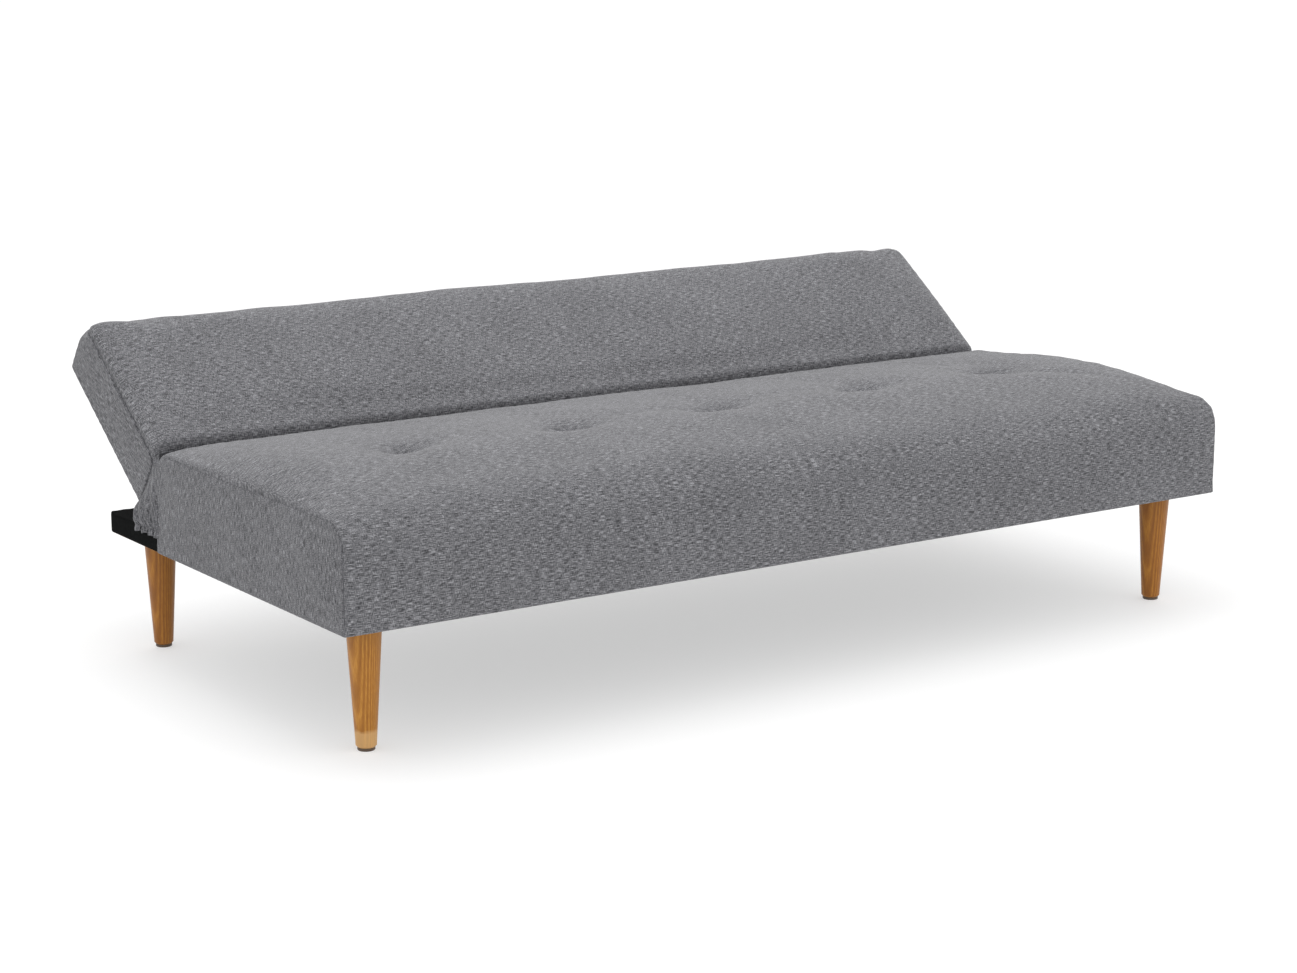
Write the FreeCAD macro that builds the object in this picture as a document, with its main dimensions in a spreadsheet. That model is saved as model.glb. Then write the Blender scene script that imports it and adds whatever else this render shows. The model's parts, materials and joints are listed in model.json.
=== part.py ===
import FreeCAD, Part

import math
import os
import re

import Sketcher

# A click-clack sofa bed: an upholstered seat on a low base with four turned legs, and a
# padded back that a pair of ratchet hinges carry from flat, through the lounge position
# it is drawn in, to upright.  Millimetres.  X runs along the sofa, Y from front to rear,
# Z up from the floor, and the origin is under the middle of the sofa as it stands.

V = FreeCAD.Vector
EPS = 1e-4

# Every size that can be set by itself: alias, millimetres or degrees, meaning.
SIZES = (
    ("width", 1800, "length of the seat, end to end"),
    ("seat_depth", 655, "front face to rear face of the seat"),
    ("deck_depth", 200, "rear face of the seat to the rear edge of the base"),
    ("base_height", 35, "thickness of the base, cloth included"),
    ("leg_length", 200, "turned leg, without its glide"),
    ("leg_top_radius", 28.5, "leg where it meets the base"),
    ("leg_foot_radius", 16.5, "leg at the foot"),
    ("leg_foot_round", 3, "rounding of the foot's rim"),
    ("leg_end_inset", 74, "end of the sofa to a leg's centre"),
    ("leg_front_inset", 76, "seat front to a front leg's centre"),
    ("leg_rear_inset", 51, "rear edge of the base to a rear leg's centre"),
    ("glide_height", 5, "nail-on glide under each foot"),
    ("glide_radius", 14, "radius of a glide"),
    ("nail_radius", 1.5, "nail of a glide"),
    ("nail_length", 16, "nail of a glide, in the leg"),
    ("hanger_radius", 4, "hanger bolt between leg and base"),
    ("hanger_in_leg", 45, "depth of the hanger bolt in the leg"),
    ("nut_radius", 5.5, "barrel of a tee nut"),
    ("nut_flange_radius", 11, "flange of a tee nut"),
    ("nut_flange", 1.5, "thickness of a tee nut's flange"),
    ("block_size", 90, "side of a corner block"),
    ("block_height", 29, "height of a corner block"),
    ("cover_wall", 2, "cover cloth with its wadding"),
    ("dust_cloth", 1, "cloth under the base"),
    ("base_corner", 20, "rounding of the base's rear corners"),
    ("board", 22, "thickness of every frame board"),
    ("side_padding", 8, "foam between the seat frame and the cover"),
    ("seat_board", 60, "height of the seat frame's boards"),
    ("brace_board", 40, "height of the seat frame's centre brace"),
    ("spring_wire", 3.4, "wire of the sinuous springs"),
    ("spring_pitch", 36, "bar to bar along a sinuous spring"),
    ("spring_half", 25, "half the width of a sinuous spring"),
    ("felt", 3, "felt between springs and foam"),
    ("seat_front_round", 45, "front top edge of the seat"),
    ("seat_rear_round", 58, "rear top edge of the seat, where the back turns past it"),
    ("tuft_pitch", 310, "tuft to tuft along the seat"),
    ("tuft_y", 300, "seat front to the row of tufts"),
    ("tuft_cord", 1.2, "radius of a tuft's cord"),
    ("tuft_washer", 12, "radius of the washer that holds a tuft's cord"),
    ("pivot_gap", 23, "seat's rear face to the hinge pivots"),
    ("pivot_drop", 36, "seat top to the hinge pivots"),
    ("deck_clear", 20, "base to the back when the back lies flat"),
    ("pivot_depth", 40, "hinge pivots to the back's front face"),
    ("pivot_inset", 6, "back's lower end to the hinge pivots"),
    ("back_angle", 36, "back's slope in the lounge position"),
    ("back_length", 338, "lower end to upper end of the back"),
    ("back_thickness", 132, "front face to rear face of the back"),
    ("back_side_gap", 4, "back's end inside the seat's end"),
    ("back_lower_round", 25, "front lower edge of the back"),
    ("back_upper_round", 30, "front upper edge of the back"),
    ("back_board", 45, "depth of the back frame's boards"),
    ("back_panel", 3, "hardboard and cloth behind the back"),
    ("webbing", 1.5, "thickness of the elastic webbing"),
    ("webbing_width", 60, "width of a webbing strap"),
    ("plate", 3, "steel of the hinge plates and pawls"),
    ("plate_gap", 0.5, "running gap between the hinge plates"),
    ("disc_radius", 20, "ratchet disc of a seat plate"),
    ("notch_depth", 4, "depth of a ratchet notch"),
    ("pin_radius", 5, "pivot pin"),
    ("pin_head", 9, "radius of the pivot pin's heads"),
    ("head_height", 2.5, "thickness of pin and screw heads"),
    ("run_clear", 0.05, "radial clearance of a pin that turns"),
    ("pawl_t", 46, "pivot to pawl pin, along the back"),
    ("pawl_n", -22, "pivot to pawl pin, out of the back"),
    ("pawl_length", 30, "pawl pin to the pawl's nose"),
    ("pawl_turn", 141, "direction of the pawl from the back's slope"),
    ("pawl_pin_radius", 3, "pawl pin"),
    ("rivet_head", 1.5, "thickness of a pawl pin's heads"),
    ("coil_wire", 0.8, "wire of a pawl's spring"),
    ("screw_radius", 3, "wood screws of the hinge plates"),
    ("screw_length", 18, "wood screws of the hinge plates, in the wood"),
    ("frame_screw", 2.5, "radius of the screws between base and seat frame"),
    ("fit_clear", 0.1, "clearance of a fixed fastener in its hole"),
    ("slot_clear", 3, "room around the hinges in foam and covers"),
    ("slot_side", 9, "room beside the hinge plates in the back's foam and cover"),
    ("gusset_cloth", 2, "cloth that closes the space behind the seat"),
    ("gusset_clear", 2, "cloth to its neighbours"),
)

# Sizes worked out from them.
WORKED_OUT = (
    ("half_width", "width / 2"),
    ("base_depth", "seat_depth + deck_depth"),
    ("base_bottom", "glide_height + leg_length"),
    ("base_top", "base_bottom + base_height"),
    ("rail_floor", "base_bottom + dust_cloth"),
    ("rail_top", "base_top - cover_wall"),
    ("rail_height", "rail_top - rail_floor"),
    ("inner_half", "half_width - cover_wall"),
    ("frame_half", "inner_half - side_padding"),
    ("frame_inside", "frame_half - board"),
    ("frame_front", "cover_wall + side_padding"),
    ("frame_rear", "seat_depth - cover_wall - side_padding"),
    ("frame_top", "rail_top + seat_board"),
    ("felt_floor", "frame_top + spring_wire + 0.6"),
    ("foam_floor", "felt_floor + felt"),
    ("leg_x", "half_width - leg_end_inset"),
    ("leg_front_y", "leg_front_inset"),
    ("leg_rear_y", "base_depth - leg_rear_inset"),
    ("pivot_local", "seat_depth + pivot_gap"),
    ("pivot_height", "base_top + deck_clear + back_thickness - pivot_depth"),
    ("seat_height", "pivot_height + pivot_drop"),
    ("back_low", "-pivot_inset"),
    ("back_high", "back_length - pivot_inset"),
    ("back_front", "pivot_depth"),
    ("back_rear", "pivot_depth - back_thickness"),
    ("back_half", "half_width - back_side_gap"),
    ("board_rear", "back_rear + back_panel + fit_clear"),
    ("board_front", "board_rear + back_board"),
    ("rear_reach", "pivot_local + back_high * cos(back_angle) - back_rear * sin(back_angle)"),
    ("front_y", "-rear_reach / 2"),
    ("pivot_y", "front_y + pivot_local"),
    ("seat_plate_x", "frame_inside - plate / 2"),
    ("back_plate_x", "seat_plate_x - plate - plate_gap"),
    ("back_rail_inside", "back_plate_x + plate / 2"),
    ("slot_half", "plate * 2 + plate_gap"),
)

doc = FreeCAD.newDocument("sofa_bed")
sheet = doc.addObject("Spreadsheet::Sheet", "Dims")
calc = doc.addObject("Spreadsheet::Sheet", "Calc")
HOME = {name: "Dims" for name, _, _ in SIZES}
HOME.update({name: "Calc" for name, _ in WORKED_OUT})
NAMES = re.compile(r"\b(" + "|".join(sorted(HOME, key=len, reverse=True)) + r")\b")


def formula(words):
    """Name each alias by the sheet that holds it."""
    return NAMES.sub(lambda found: HOME[found.group(1)] + "." + found.group(1), str(words))


for row, (name, size, meaning) in enumerate(SIZES, start=1):
    sheet.set(f"A{row}", str(size))
    sheet.setAlias(f"A{row}", name)
    sheet.set(f"B{row}", meaning)
for row, (name, words) in enumerate(WORKED_OUT, start=1):
    calc.setAlias(f"A{row}", name)
for row, (name, words) in enumerate(WORKED_OUT, start=1):
    calc.set(f"A{row}", "=" + formula(words))
doc.recompute()


def value(words):
    """What a formula comes to, in millimetres or degrees."""
    return float(sheet.evalExpression(formula(words)))


def bind(thing, **sizes):
    """Tie an object's properties to formulas."""
    for prop, words in sizes.items():
        thing.setExpression(prop, formula(words))


# Two frames: the stand's has Y from the seat's front face and Z from the floor; the back's
# has its origin on the hinge axis, Y up along the back and Z out of its front face.
STAND = "stand"
BACK = "back"


def put(thing, frame, x, y, z, turn="0"):
    """Tie an object's origin to a point of a frame, and turn it with that frame."""
    if frame == STAND:
        across = f"front_y + ({y})"
        up = f"{z}"
        angle = f"{turn}"
    else:
        across = f"pivot_y + ({y}) * cos(back_angle) - ({z}) * sin(back_angle)"
        up = f"pivot_height + ({y}) * sin(back_angle) + ({z}) * cos(back_angle)"
        angle = f"back_angle + {turn}"
    if angle != "0":
        thing.Placement = FreeCAD.Placement(V(), FreeCAD.Rotation(V(1, 0, 0), 1))
        thing.setExpression("Placement.Rotation.Angle", formula(angle))
    thing.setExpression("Placement.Base.x", formula(x))
    thing.setExpression("Placement.Base.y", formula(across))
    thing.setExpression("Placement.Base.z", formula(up))


def block(label, frame, x, y, z):
    """A board or a slot: a box between two formulas along each axis."""
    box = doc.addObject("Part::Box", label)
    box.Label = label
    bind(
        box,
        Length=f"({x[1]}) - ({x[0]})",
        Width=f"({y[1]}) - ({y[0]})",
        Height=f"({z[1]}) - ({z[0]})",
    )
    put(box, frame, x[0], y[0], z[0])
    return box


def face_along_x(thing):
    """Turn a round piece so that its axis runs along the sofa."""
    thing.setExpression("Placement.Rotation.Angle", None)
    turned_axis = FreeCAD.Rotation(V(0, 1, 0), 90)
    thing.Placement = FreeCAD.Placement(thing.Placement.Base, turned_axis)


def rod(label, frame, x, y, z, radius, length, along="x"):
    """A round bar from a point, along the sofa or straight out of its frame."""
    bar = doc.addObject("Part::Cylinder", label)
    bar.Label = label
    bind(bar, Radius=radius, Height=length)
    put(bar, frame, x, y, z)
    if along == "x":
        face_along_x(bar)
    return bar


def joined(label, pieces):
    """One solid from several that meet."""
    whole = doc.addObject("Part::MultiFuse", label)
    whole.Label = label
    whole.Shapes = pieces
    return whole


def grouped(label, pieces):
    """Like pieces that share a node and stay separate solids."""
    group = doc.addObject("Part::Compound", label)
    group.Label = label
    group.Links = pieces
    return group


def cut(label, whole, tools):
    """A piece with its holes and slots taken out."""
    tool = tools[0] if len(tools) == 1 else grouped(label + "_tools", tools)
    result = doc.addObject("Part::Cut", label)
    result.Label = label
    result.Base = whole
    result.Tool = tool
    return result


def empty_sketch(body, role):
    """A sketch on one of a body's own planes."""
    sketch = body.newObject("Sketcher::SketchObject", body.Label + "_sketch")
    plane = [face for face in body.Origin.OriginFeatures if face.Role == role][0]
    sketch.AttachmentSupport = [(plane, "")]
    sketch.MapMode = "FlatFace"
    return sketch


def outline_sketch(body, role, points):
    """A closed outline, each corner tied to its formulas."""
    sketch = empty_sketch(body, role)
    corners = [V(value(a), value(b), 0) for a, b in points]
    count = len(corners)
    for i in range(count):
        sketch.addGeometry(Part.LineSegment(corners[i], corners[(i + 1) % count]), False)
    for i in range(count):
        sketch.addConstraint(Sketcher.Constraint("Coincident", i, 2, (i + 1) % count, 1))
    for i, corner in enumerate(points):
        for kind, words, size in zip(("DistanceX", "DistanceY"), corner, corners[i]):
            tie = sketch.addConstraint(Sketcher.Constraint(kind, -1, 1, i, 1, size))
            sketch.setExpression(f"Constraints[{tie}]", formula(words))
    return sketch


def hole_sketch(body, role, holes):
    """Round holes, each centre and radius tied to its formulas."""
    sketch = empty_sketch(body, role)
    for a, b, radius in holes:
        centre = V(value(a), value(b), 0)
        circle = sketch.addGeometry(Part.Circle(centre, V(0, 0, 1), value(radius)), False)
        ties = (
            (Sketcher.Constraint("DistanceX", -1, 1, circle, 3, centre.x), a),
            (Sketcher.Constraint("DistanceY", -1, 1, circle, 3, centre.y), b),
            (Sketcher.Constraint("Radius", circle, value(radius)), radius),
        )
        for constraint, words in ties:
            tie = sketch.addConstraint(constraint)
            sketch.setExpression(f"Constraints[{tie}]", formula(words))
    return sketch


def edges_along(feature, role, corner):
    """Names of the straight edges that a pad raised from one corner of its outline."""
    flat = {"YZ_Plane": ("y", "z"), "XY_Plane": ("x", "y")}[role]
    found = []
    for number, edge in enumerate(feature.Shape.Edges, start=1):
        points = [vertex.Point for vertex in edge.Vertexes]
        off = [
            abs(getattr(point, axis) - size)
            for point in points
            for axis, size in zip(flat, corner)
        ]
        if len(points) == 2 and max(off) < EPS:
            found.append(f"Edge{number}")
    return found


def prism(label, frame, at, role, points, depth, holes=(), rounds=None, turn="0"):
    """A padded outline, half its depth each side of a point, with chosen corners rounded."""
    body = doc.addObject("PartDesign::Body", label)
    body.Label = label
    put(body, frame, *at, turn)
    pad = body.newObject("PartDesign::Pad", label + "_pad")
    pad.Profile = outline_sketch(body, role, points)
    pad.Midplane = True
    bind(pad, Length=depth)
    body.Tip = pad
    doc.recompute()
    for index, radius in (rounds or {}).items():
        corner = (value(points[index][0]), value(points[index][1]))
        solid = body.Tip
        names = edges_along(solid, role, corner)
        if not names:
            raise RuntimeError(f"{label}: no edge at corner {index}")
        fillet = body.newObject("PartDesign::Fillet", f"{label}_round{index}")
        fillet.Base = (solid, names)
        bind(fillet, Radius=radius)
        body.Tip = fillet
        doc.recompute()
    if holes:
        whole = body.Tip.Shape.Volume
        pocket = body.newObject("PartDesign::Pocket", label + "_holes")
        pocket.Profile = hole_sketch(body, role, holes)
        pocket.Midplane = True
        bind(pocket, Length=f"2 * ({depth})")
        body.Tip = pocket
        doc.recompute()
        drilled = sum(math.pi * value(radius) ** 2 for _, _, radius in holes) * value(depth)
        if abs(whole - pocket.Shape.Volume - drilled) > 0.01 * drilled:
            raise RuntimeError(f"{label}: its holes took the wrong volume away")
    return body


def turned(label, x, y, z, profile):
    """A piece from the lathe: its half section turned about an upright axis."""
    body = doc.addObject("PartDesign::Body", label)
    body.Label = label
    put(body, STAND, x, y, z)
    spin = body.newObject("PartDesign::Revolution", label + "_spin")
    sketch = outline_sketch(body, "XZ_Plane", profile)
    spin.Profile = sketch
    spin.ReferenceAxis = (sketch, ["V_Axis"])
    spin.Angle = 360
    body.Tip = spin
    return body


def mirrored_span(side, inside, outside):
    """The span along X between two distances from the middle, at one end of the sofa."""
    if side > 0:
        return inside, outside
    return f"-({outside})", f"-({inside})"


NODES = []


def keep(piece):
    """Hand a finished sub-part over to be written."""
    NODES.append(piece)
    return piece


SIDES = (("left", -1), ("right", 1))
ROWS = (("front", "leg_front_y"), ("rear", "leg_rear_y"))


def legs():
    """Four tapered beech legs, with the bores of their hanger bolts and glide nails."""
    nail_bore = "nail_radius + fit_clear"
    bolt_bore = "hanger_radius + fit_clear"
    profile = (
        (nail_bore, "0"),
        ("leg_foot_radius - leg_foot_round", "0"),
        ("leg_foot_radius", "leg_foot_round"),
        ("leg_top_radius", "leg_length"),
        (bolt_bore, "leg_length"),
        (bolt_bore, "leg_length - hanger_in_leg"),
        ("0", "leg_length - hanger_in_leg"),
        ("0", "nail_length + fit_clear"),
        (nail_bore, "nail_length + fit_clear"),
    )
    for row, y in ROWS:
        for end, side in SIDES:
            keep(turned(f"leg_{row}_{end}", f"{side} * leg_x", y, "glide_height", profile))


def leg_hardware():
    """Glides, hanger bolts and tee nuts, one of each at every leg."""
    glides, bolts, nuts = [], [], []
    glide = (
        ("0", "0"),
        ("glide_radius - 1", "0"),
        ("glide_radius", "1"),
        ("glide_radius", "glide_height"),
        ("nail_radius", "glide_height"),
        ("nail_radius", "glide_height + nail_length"),
        ("0", "glide_height + nail_length"),
    )
    bolt_bore = "hanger_radius + fit_clear"
    nut = (
        (bolt_bore, "0"),
        ("nut_radius", "0"),
        ("nut_radius", "block_height"),
        ("nut_flange_radius", "block_height"),
        ("nut_flange_radius", "block_height + nut_flange"),
        (bolt_bore, "block_height + nut_flange"),
    )
    for row, y in ROWS:
        for end, side in SIDES:
            place = f"{row}_{end}"
            x = f"{side} * leg_x"
            glides.append(turned(f"glide_{place}", x, y, "0", glide))
            start = "base_bottom - hanger_in_leg + fit_clear"
            length = "hanger_in_leg - fit_clear + dust_cloth + block_height"
            bolts.append(rod(f"bolt_{place}", STAND, x, y, start, "hanger_radius", length, "z"))
            nuts.append(turned(f"nut_{place}", x, y, "rail_floor", nut))
    keep(grouped("foot_glides", glides))
    keep(grouped("hanger_bolts", bolts))
    keep(grouped("tee_nuts", nuts))


def frame_screw_places():
    """Where the screws stand that join the base rails to the seat frame."""
    rows = ("frame_front + 50", "(frame_front + frame_rear) / 2", "frame_rear - 60")
    middle = "(inner_half - board + frame_half) / 2"
    return [(f"{side} * {middle}", y) for _, side in SIDES for y in rows]


def base():
    """The low base: board rails, corner blocks, black deck cloth and dust cloth."""
    span = ("rail_floor", "rail_top")
    inside = "inner_half - board"
    rear = "base_depth - cover_wall"
    hole = "frame_screw + fit_clear"
    for end, side in SIDES:
        x = mirrored_span(side, inside, "inner_half")
        rail = block(f"base_rail_{end}_blank", STAND, x, ("cover_wall", f"{rear} - board"), span)
        holes = [
            rod(f"base_{end}_hole{i}", STAND, hx, hy, "rail_floor - 1", hole, "rail_height + 2", "z")
            for i, (hx, hy) in enumerate(frame_screw_places())
            if hx.startswith(str(side) + " ")
        ]
        keep(cut(f"base_rail_{end}", rail, holes))
    across = (f"-({inside})", inside)
    keep(block("base_rail_front", STAND, across, ("cover_wall", "cover_wall + board"), span))
    keep(block("base_rail_middle", STAND, across, ("frame_rear - board", "frame_rear"), span))
    outline = (
        ("-inner_half", "-board / 2"),
        ("inner_half", "-board / 2"),
        ("inner_half", "board / 2"),
        ("-inner_half", "board / 2"),
    )
    corner = "base_corner - cover_wall"
    keep(
        prism(
            "base_rail_rear",
            STAND,
            ("0", f"{rear} - board / 2", "(rail_floor + rail_top) / 2"),
            "XY_Plane",
            outline,
            "rail_height",
            rounds={2: corner, 3: corner},
        )
    )
    middle = ("-board / 2", "board / 2")
    runs = (
        ("cover_wall + board", "frame_rear - board"),
        ("frame_rear", f"{rear} - board"),
    )
    spines = [block(f"spine_{i}", STAND, middle, run, span) for i, run in enumerate(runs)]
    keep(grouped("base_centre_rails", spines))
    blocks = []
    corners = (
        ("cover_wall + board", "cover_wall + board + block_size", "leg_front_y"),
        (f"{rear} - board - block_size", f"{rear} - board", "leg_rear_y"),
    )
    for low, high, y in corners:
        for end, side in SIDES:
            x = mirrored_span(side, f"{inside} - block_size", inside)
            label = f"block_{end}_{len(blocks)}"
            solid = block(label, STAND, x, (low, high), ("rail_floor", "rail_floor + block_height"))
            bore = rod(
                label + "_bore",
                STAND,
                f"{side} * leg_x",
                y,
                "rail_floor - 1",
                "nut_radius + fit_clear",
                "block_height + 2",
                "z",
            )
            blocks.append(cut(label + "_drilled", solid, [bore]))
    keep(grouped("corner_blocks", blocks))
    dust = block(
        "dust_cloth_blank",
        STAND,
        ("-inner_half", "inner_half"),
        ("cover_wall", f"{rear} - base_corner"),
        ("base_bottom", "rail_floor"),
    )
    passes = [
        rod(
            f"dust_pass_{row}_{end}",
            STAND,
            f"{side} * leg_x",
            y,
            "base_bottom - 1",
            "nut_radius + fit_clear",
            "dust_cloth + 2",
            "z",
        )
        for row, y in ROWS
        for end, side in SIDES
    ]
    keep(cut("dust_cover", dust, passes))


def base_cover():
    """Black cloth over the part of the base that stands out behind the seat."""
    depth = "base_depth - seat_depth"

    def outline(inset, front):
        half = f"(half_width - {inset})"
        return (
            (f"-{half}", front),
            (half, front),
            (half, f"{depth} - {inset}"),
            (f"-{half}", f"{depth} - {inset}"),
        )

    outer = prism(
        "base_cover_outer",
        STAND,
        ("0", "seat_depth", "(base_bottom + base_top) / 2"),
        "XY_Plane",
        outline("0", "0"),
        "base_height",
        rounds={2: "base_corner", 3: "base_corner"},
    )
    corner = "base_corner - cover_wall"
    inner = prism(
        "base_cover_inner",
        STAND,
        ("0", "seat_depth", "(base_bottom + rail_top) / 2 - 5"),
        "XY_Plane",
        outline("cover_wall", "-10"),
        "base_height - cover_wall + 10",
        rounds={2: corner, 3: corner},
    )
    keep(cut("base_cover", outer, [inner]))


def padded_block(label, frame, half, y, z, rounds):
    """A cushion's plain solid: a four-cornered section, carried along the sofa."""
    points = ((y[0], z[0]), (y[1], z[0]), (y[1], z[1]), (y[0], z[1]))
    return prism(label, frame, ("0", "0", "0"), "YZ_Plane", points, f"2 * ({half})", rounds=rounds)


def tuft_places():
    """Distances from the middle of the five tufts."""
    return [f"{i} * tuft_pitch" for i in range(-2, 3)]


def seat_slots(label):
    """Where a hinge's seat plate runs back through the foam and the cover."""
    slots = []
    for end, side in SIDES:
        x = mirrored_span(side, "seat_plate_x - slot_half", "seat_plate_x + slot_half")
        y = ("frame_rear - board - 40", "seat_depth + 1")
        z = ("frame_top - 1", "pivot_height + slot_clear + 1")
        slots.append(block(f"{label}_{end}", STAND, x, y, z))
    return slots


def seat_frame():
    """Board frame of the seat, standing on the base rails, with its centre brace."""
    tall = ("rail_top", "frame_top")
    hole = "frame_screw + fit_clear"
    for end, side in SIDES:
        x = mirrored_span(side, "frame_inside", "frame_half")
        rail = block(f"seat_rail_{end}_blank", STAND, x, ("frame_front", "frame_rear"), tall)
        holes = [
            rod(f"seat_{end}_hole{i}", STAND, hx, hy, "rail_top - 1", hole, "seat_board - 10", "z")
            for i, (hx, hy) in enumerate(frame_screw_places())
            if hx.startswith(str(side) + " ")
        ]
        radius = "screw_radius + fit_clear"
        length = "screw_length + 2"
        for i, (y, z) in enumerate(SEAT_PLATE_SCREWS):
            start = "frame_inside - 1" if side > 0 else f"-frame_inside + 1 - ({length})"
            holes.append(rod(f"seat_{end}_bore{i}", STAND, start, y, z, radius, length))
        keep(cut(f"seat_rail_{end}", rail, holes))
    across = ("-frame_inside", "frame_inside")
    keep(block("seat_rail_front", STAND, across, ("frame_front", "frame_front + board"), tall))
    keep(block("seat_rail_rear", STAND, across, ("frame_rear - board", "frame_rear"), tall))
    keep(
        block(
            "seat_centre_brace",
            STAND,
            ("-board / 2", "board / 2"),
            ("frame_front + board", "frame_rear - board"),
            ("rail_top", "rail_top + brace_board"),
        )
    )
    length = "rail_height + seat_board - 15"
    screws = [
        rod(f"frame_screw_{i}", STAND, x, y, "rail_floor + 2", "frame_screw", length, "z")
        for i, (x, y) in enumerate(frame_screw_places())
    ]
    keep(grouped("frame_screws", screws))


def spring_places():
    """Distances from the middle of the sinuous springs, two between each pair of tufts."""
    pitch = value("tuft_pitch")
    right = [pitch * (i + third / 3) for i in range(2) for third in (1, 2)]
    right.append(pitch * (2 + 1 / 3))
    return [-x for x in reversed(right)] + right


def sinuous_path(x, start, end, z, pitch, half):
    """Cross bars joined by half rounds, drawn out to reach from rail to rail."""
    bars = round((end - start) / pitch)
    pitch = (end - start) / bars
    reach = half - pitch / 2
    edges = []
    for i in range(bars + 1):
        y = start + i * pitch
        side = 1 if i % 2 == 0 else -1
        near = V(x - side * reach, y, z)
        far = V(x + side * reach, y, z)
        edges.append(Part.LineSegment(near, far).toShape())
        if i < bars:
            over = V(x + side * half, y + pitch / 2, z)
            back = V(x + side * reach, y + pitch, z)
            edges.append(Part.Arc(far, over, back).toShape())
    return Part.Wire(edges)


def springs():
    """Sinuous springs from the front rail to the rear rail, their clips, and the felt."""
    radius = value("spring_wire / 2")
    z = value("frame_top") + radius
    board = value("board")
    start = value("front_y + frame_front") + board / 2
    end = value("front_y + frame_rear") - board / 2
    pitch = value("spring_pitch")
    solids = []
    clips = []
    for i, x in enumerate(spring_places()):
        path = sinuous_path(x, start, end, z, pitch, value("spring_half"))
        first = path.Edges[0]
        ring = Part.Wire([Part.Circle(first.Vertexes[0].Point, V(1, 0, 0), radius).toShape()])
        solids.append(path.makePipeShell([ring], True, False))
        ends = (first, path.Edges[-1])
        for where, bar in zip(("front", "rear"), ends):
            y = bar.CenterOfMass.y - value("front_y")
            clips.append(spring_clip(f"clip_{where}_{i}", x, y))
    wires = doc.addObject("Part::Feature", "seat_springs")
    wires.Label = "seat_springs"
    wires.Shape = Part.makeCompound(solids)
    keep(wires)
    keep(grouped("spring_clips", clips))
    felt = block(
        "spring_felt_blank",
        STAND,
        ("-frame_inside + 20", "frame_inside - 20"),
        ("frame_front + 12", "frame_rear - 12"),
        ("felt_floor", "foam_floor"),
    )
    keep(cut("spring_felt", felt, tuft_bores("felt_bore", "felt_floor - 1", "felt + 2")))


def spring_clip(label, x, y):
    """A staple-shaped clip, a roof on two walls, that holds a spring's end on its rail."""
    wall = 0.5
    room = "spring_wire / 2"
    low, high = f"{y} - {room}", f"{y} + {room}"
    top = "felt_floor - 0.1"
    width = (f"{x} - 5", f"{x} + 5")
    outer = block(
        label + "_outer",
        STAND,
        width,
        (f"{low} - {wall} - 1", f"{high} + {wall} + 1"),
        ("frame_top", top),
    )
    inner = block(
        label + "_inner",
        STAND,
        (f"{x} - 6", f"{x} + 6"),
        (f"{low} - 1", f"{high} + 1"),
        ("frame_top - 1", "frame_top + spring_wire + 0.05"),
    )
    return cut(label, outer, [inner])


def tuft_bores(label, z, length):
    """Holes for the tufts' cords."""
    return [
        rod(f"{label}{i}", STAND, x, "tuft_y", z, "tuft_cord + fit_clear", length, "z")
        for i, x in enumerate(tuft_places())
    ]


def tufts():
    """The cords that draw the cover down in five dimples, and their washers."""
    cords = []
    washers = []
    floor = "felt_floor - 2.2"
    top = "seat_height - cover_wall - 1"
    for i, x in enumerate(tuft_places()):
        cords.append(
            rod(f"cord{i}", STAND, x, "tuft_y", floor, "tuft_cord", f"{top} - ({floor})", "z")
        )
        disc = rod(f"washer{i}", STAND, x, "tuft_y", floor, "tuft_washer", "2", "z")
        bore = rod(
            f"washer_bore{i}",
            STAND,
            x,
            "tuft_y",
            f"{floor} - 1",
            "tuft_cord + fit_clear",
            "4",
            "z",
        )
        washers.append(cut(f"washer_ring{i}", disc, [bore]))
    keep(grouped("tuft_cords", cords))
    keep(grouped("tuft_washers", washers))


def seat_soft():
    """The seat's foam, dressed over its frame, and the cover drawn over both."""
    inner_y = ("cover_wall", "seat_depth - cover_wall")
    inner_top = "seat_height - cover_wall"
    inner_rounds = {
        2: "seat_rear_round - cover_wall",
        3: "seat_front_round - cover_wall",
    }
    foam = padded_block(
        "seat_foam_blank", STAND, "inner_half", inner_y, ("rail_top", inner_top), inner_rounds
    )
    frame_room = block(
        "seat_foam_frame_room",
        STAND,
        ("-frame_half", "frame_half"),
        ("frame_front", "frame_rear"),
        ("rail_top - 1", "foam_floor"),
    )
    bores = tuft_bores("foam_bore", "foam_floor - 1", "seat_height")
    keep(cut("seat_foam", foam, [frame_room] + seat_slots("foam_slot") + bores))
    outer = padded_block(
        "seat_cover_outer",
        STAND,
        "half_width",
        ("0", "seat_depth"),
        ("base_bottom", "seat_height"),
        {2: "seat_rear_round", 3: "seat_front_round"},
    )
    inner = padded_block(
        "seat_cover_inner",
        STAND,
        "inner_half",
        inner_y,
        ("base_bottom - 10", inner_top),
        inner_rounds,
    )
    behind = block(
        "seat_cover_base_room",
        STAND,
        ("-inner_half", "inner_half"),
        ("seat_depth / 2", "seat_depth + 1"),
        ("base_bottom - 1", "rail_top"),
    )
    keep(cut("seat_cover", outer, [inner, behind] + seat_slots("cover_slot")))


# Screws of the hinge plates: on the seat frame, and on the back frame.
SEAT_PLATE_SCREWS = (
    ("frame_rear - 90", "rail_top + 18"),
    ("frame_rear - 42", "rail_top + 18"),
    ("frame_rear - 84", "rail_top + 44"),
)
BACK_PLATE_SCREWS = (
    ("board * 2 + 6", "board_rear + 14"),
    ("board * 5", "board_rear + 14"),
    ("board * 4", "board_rear + 32"),
)


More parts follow.
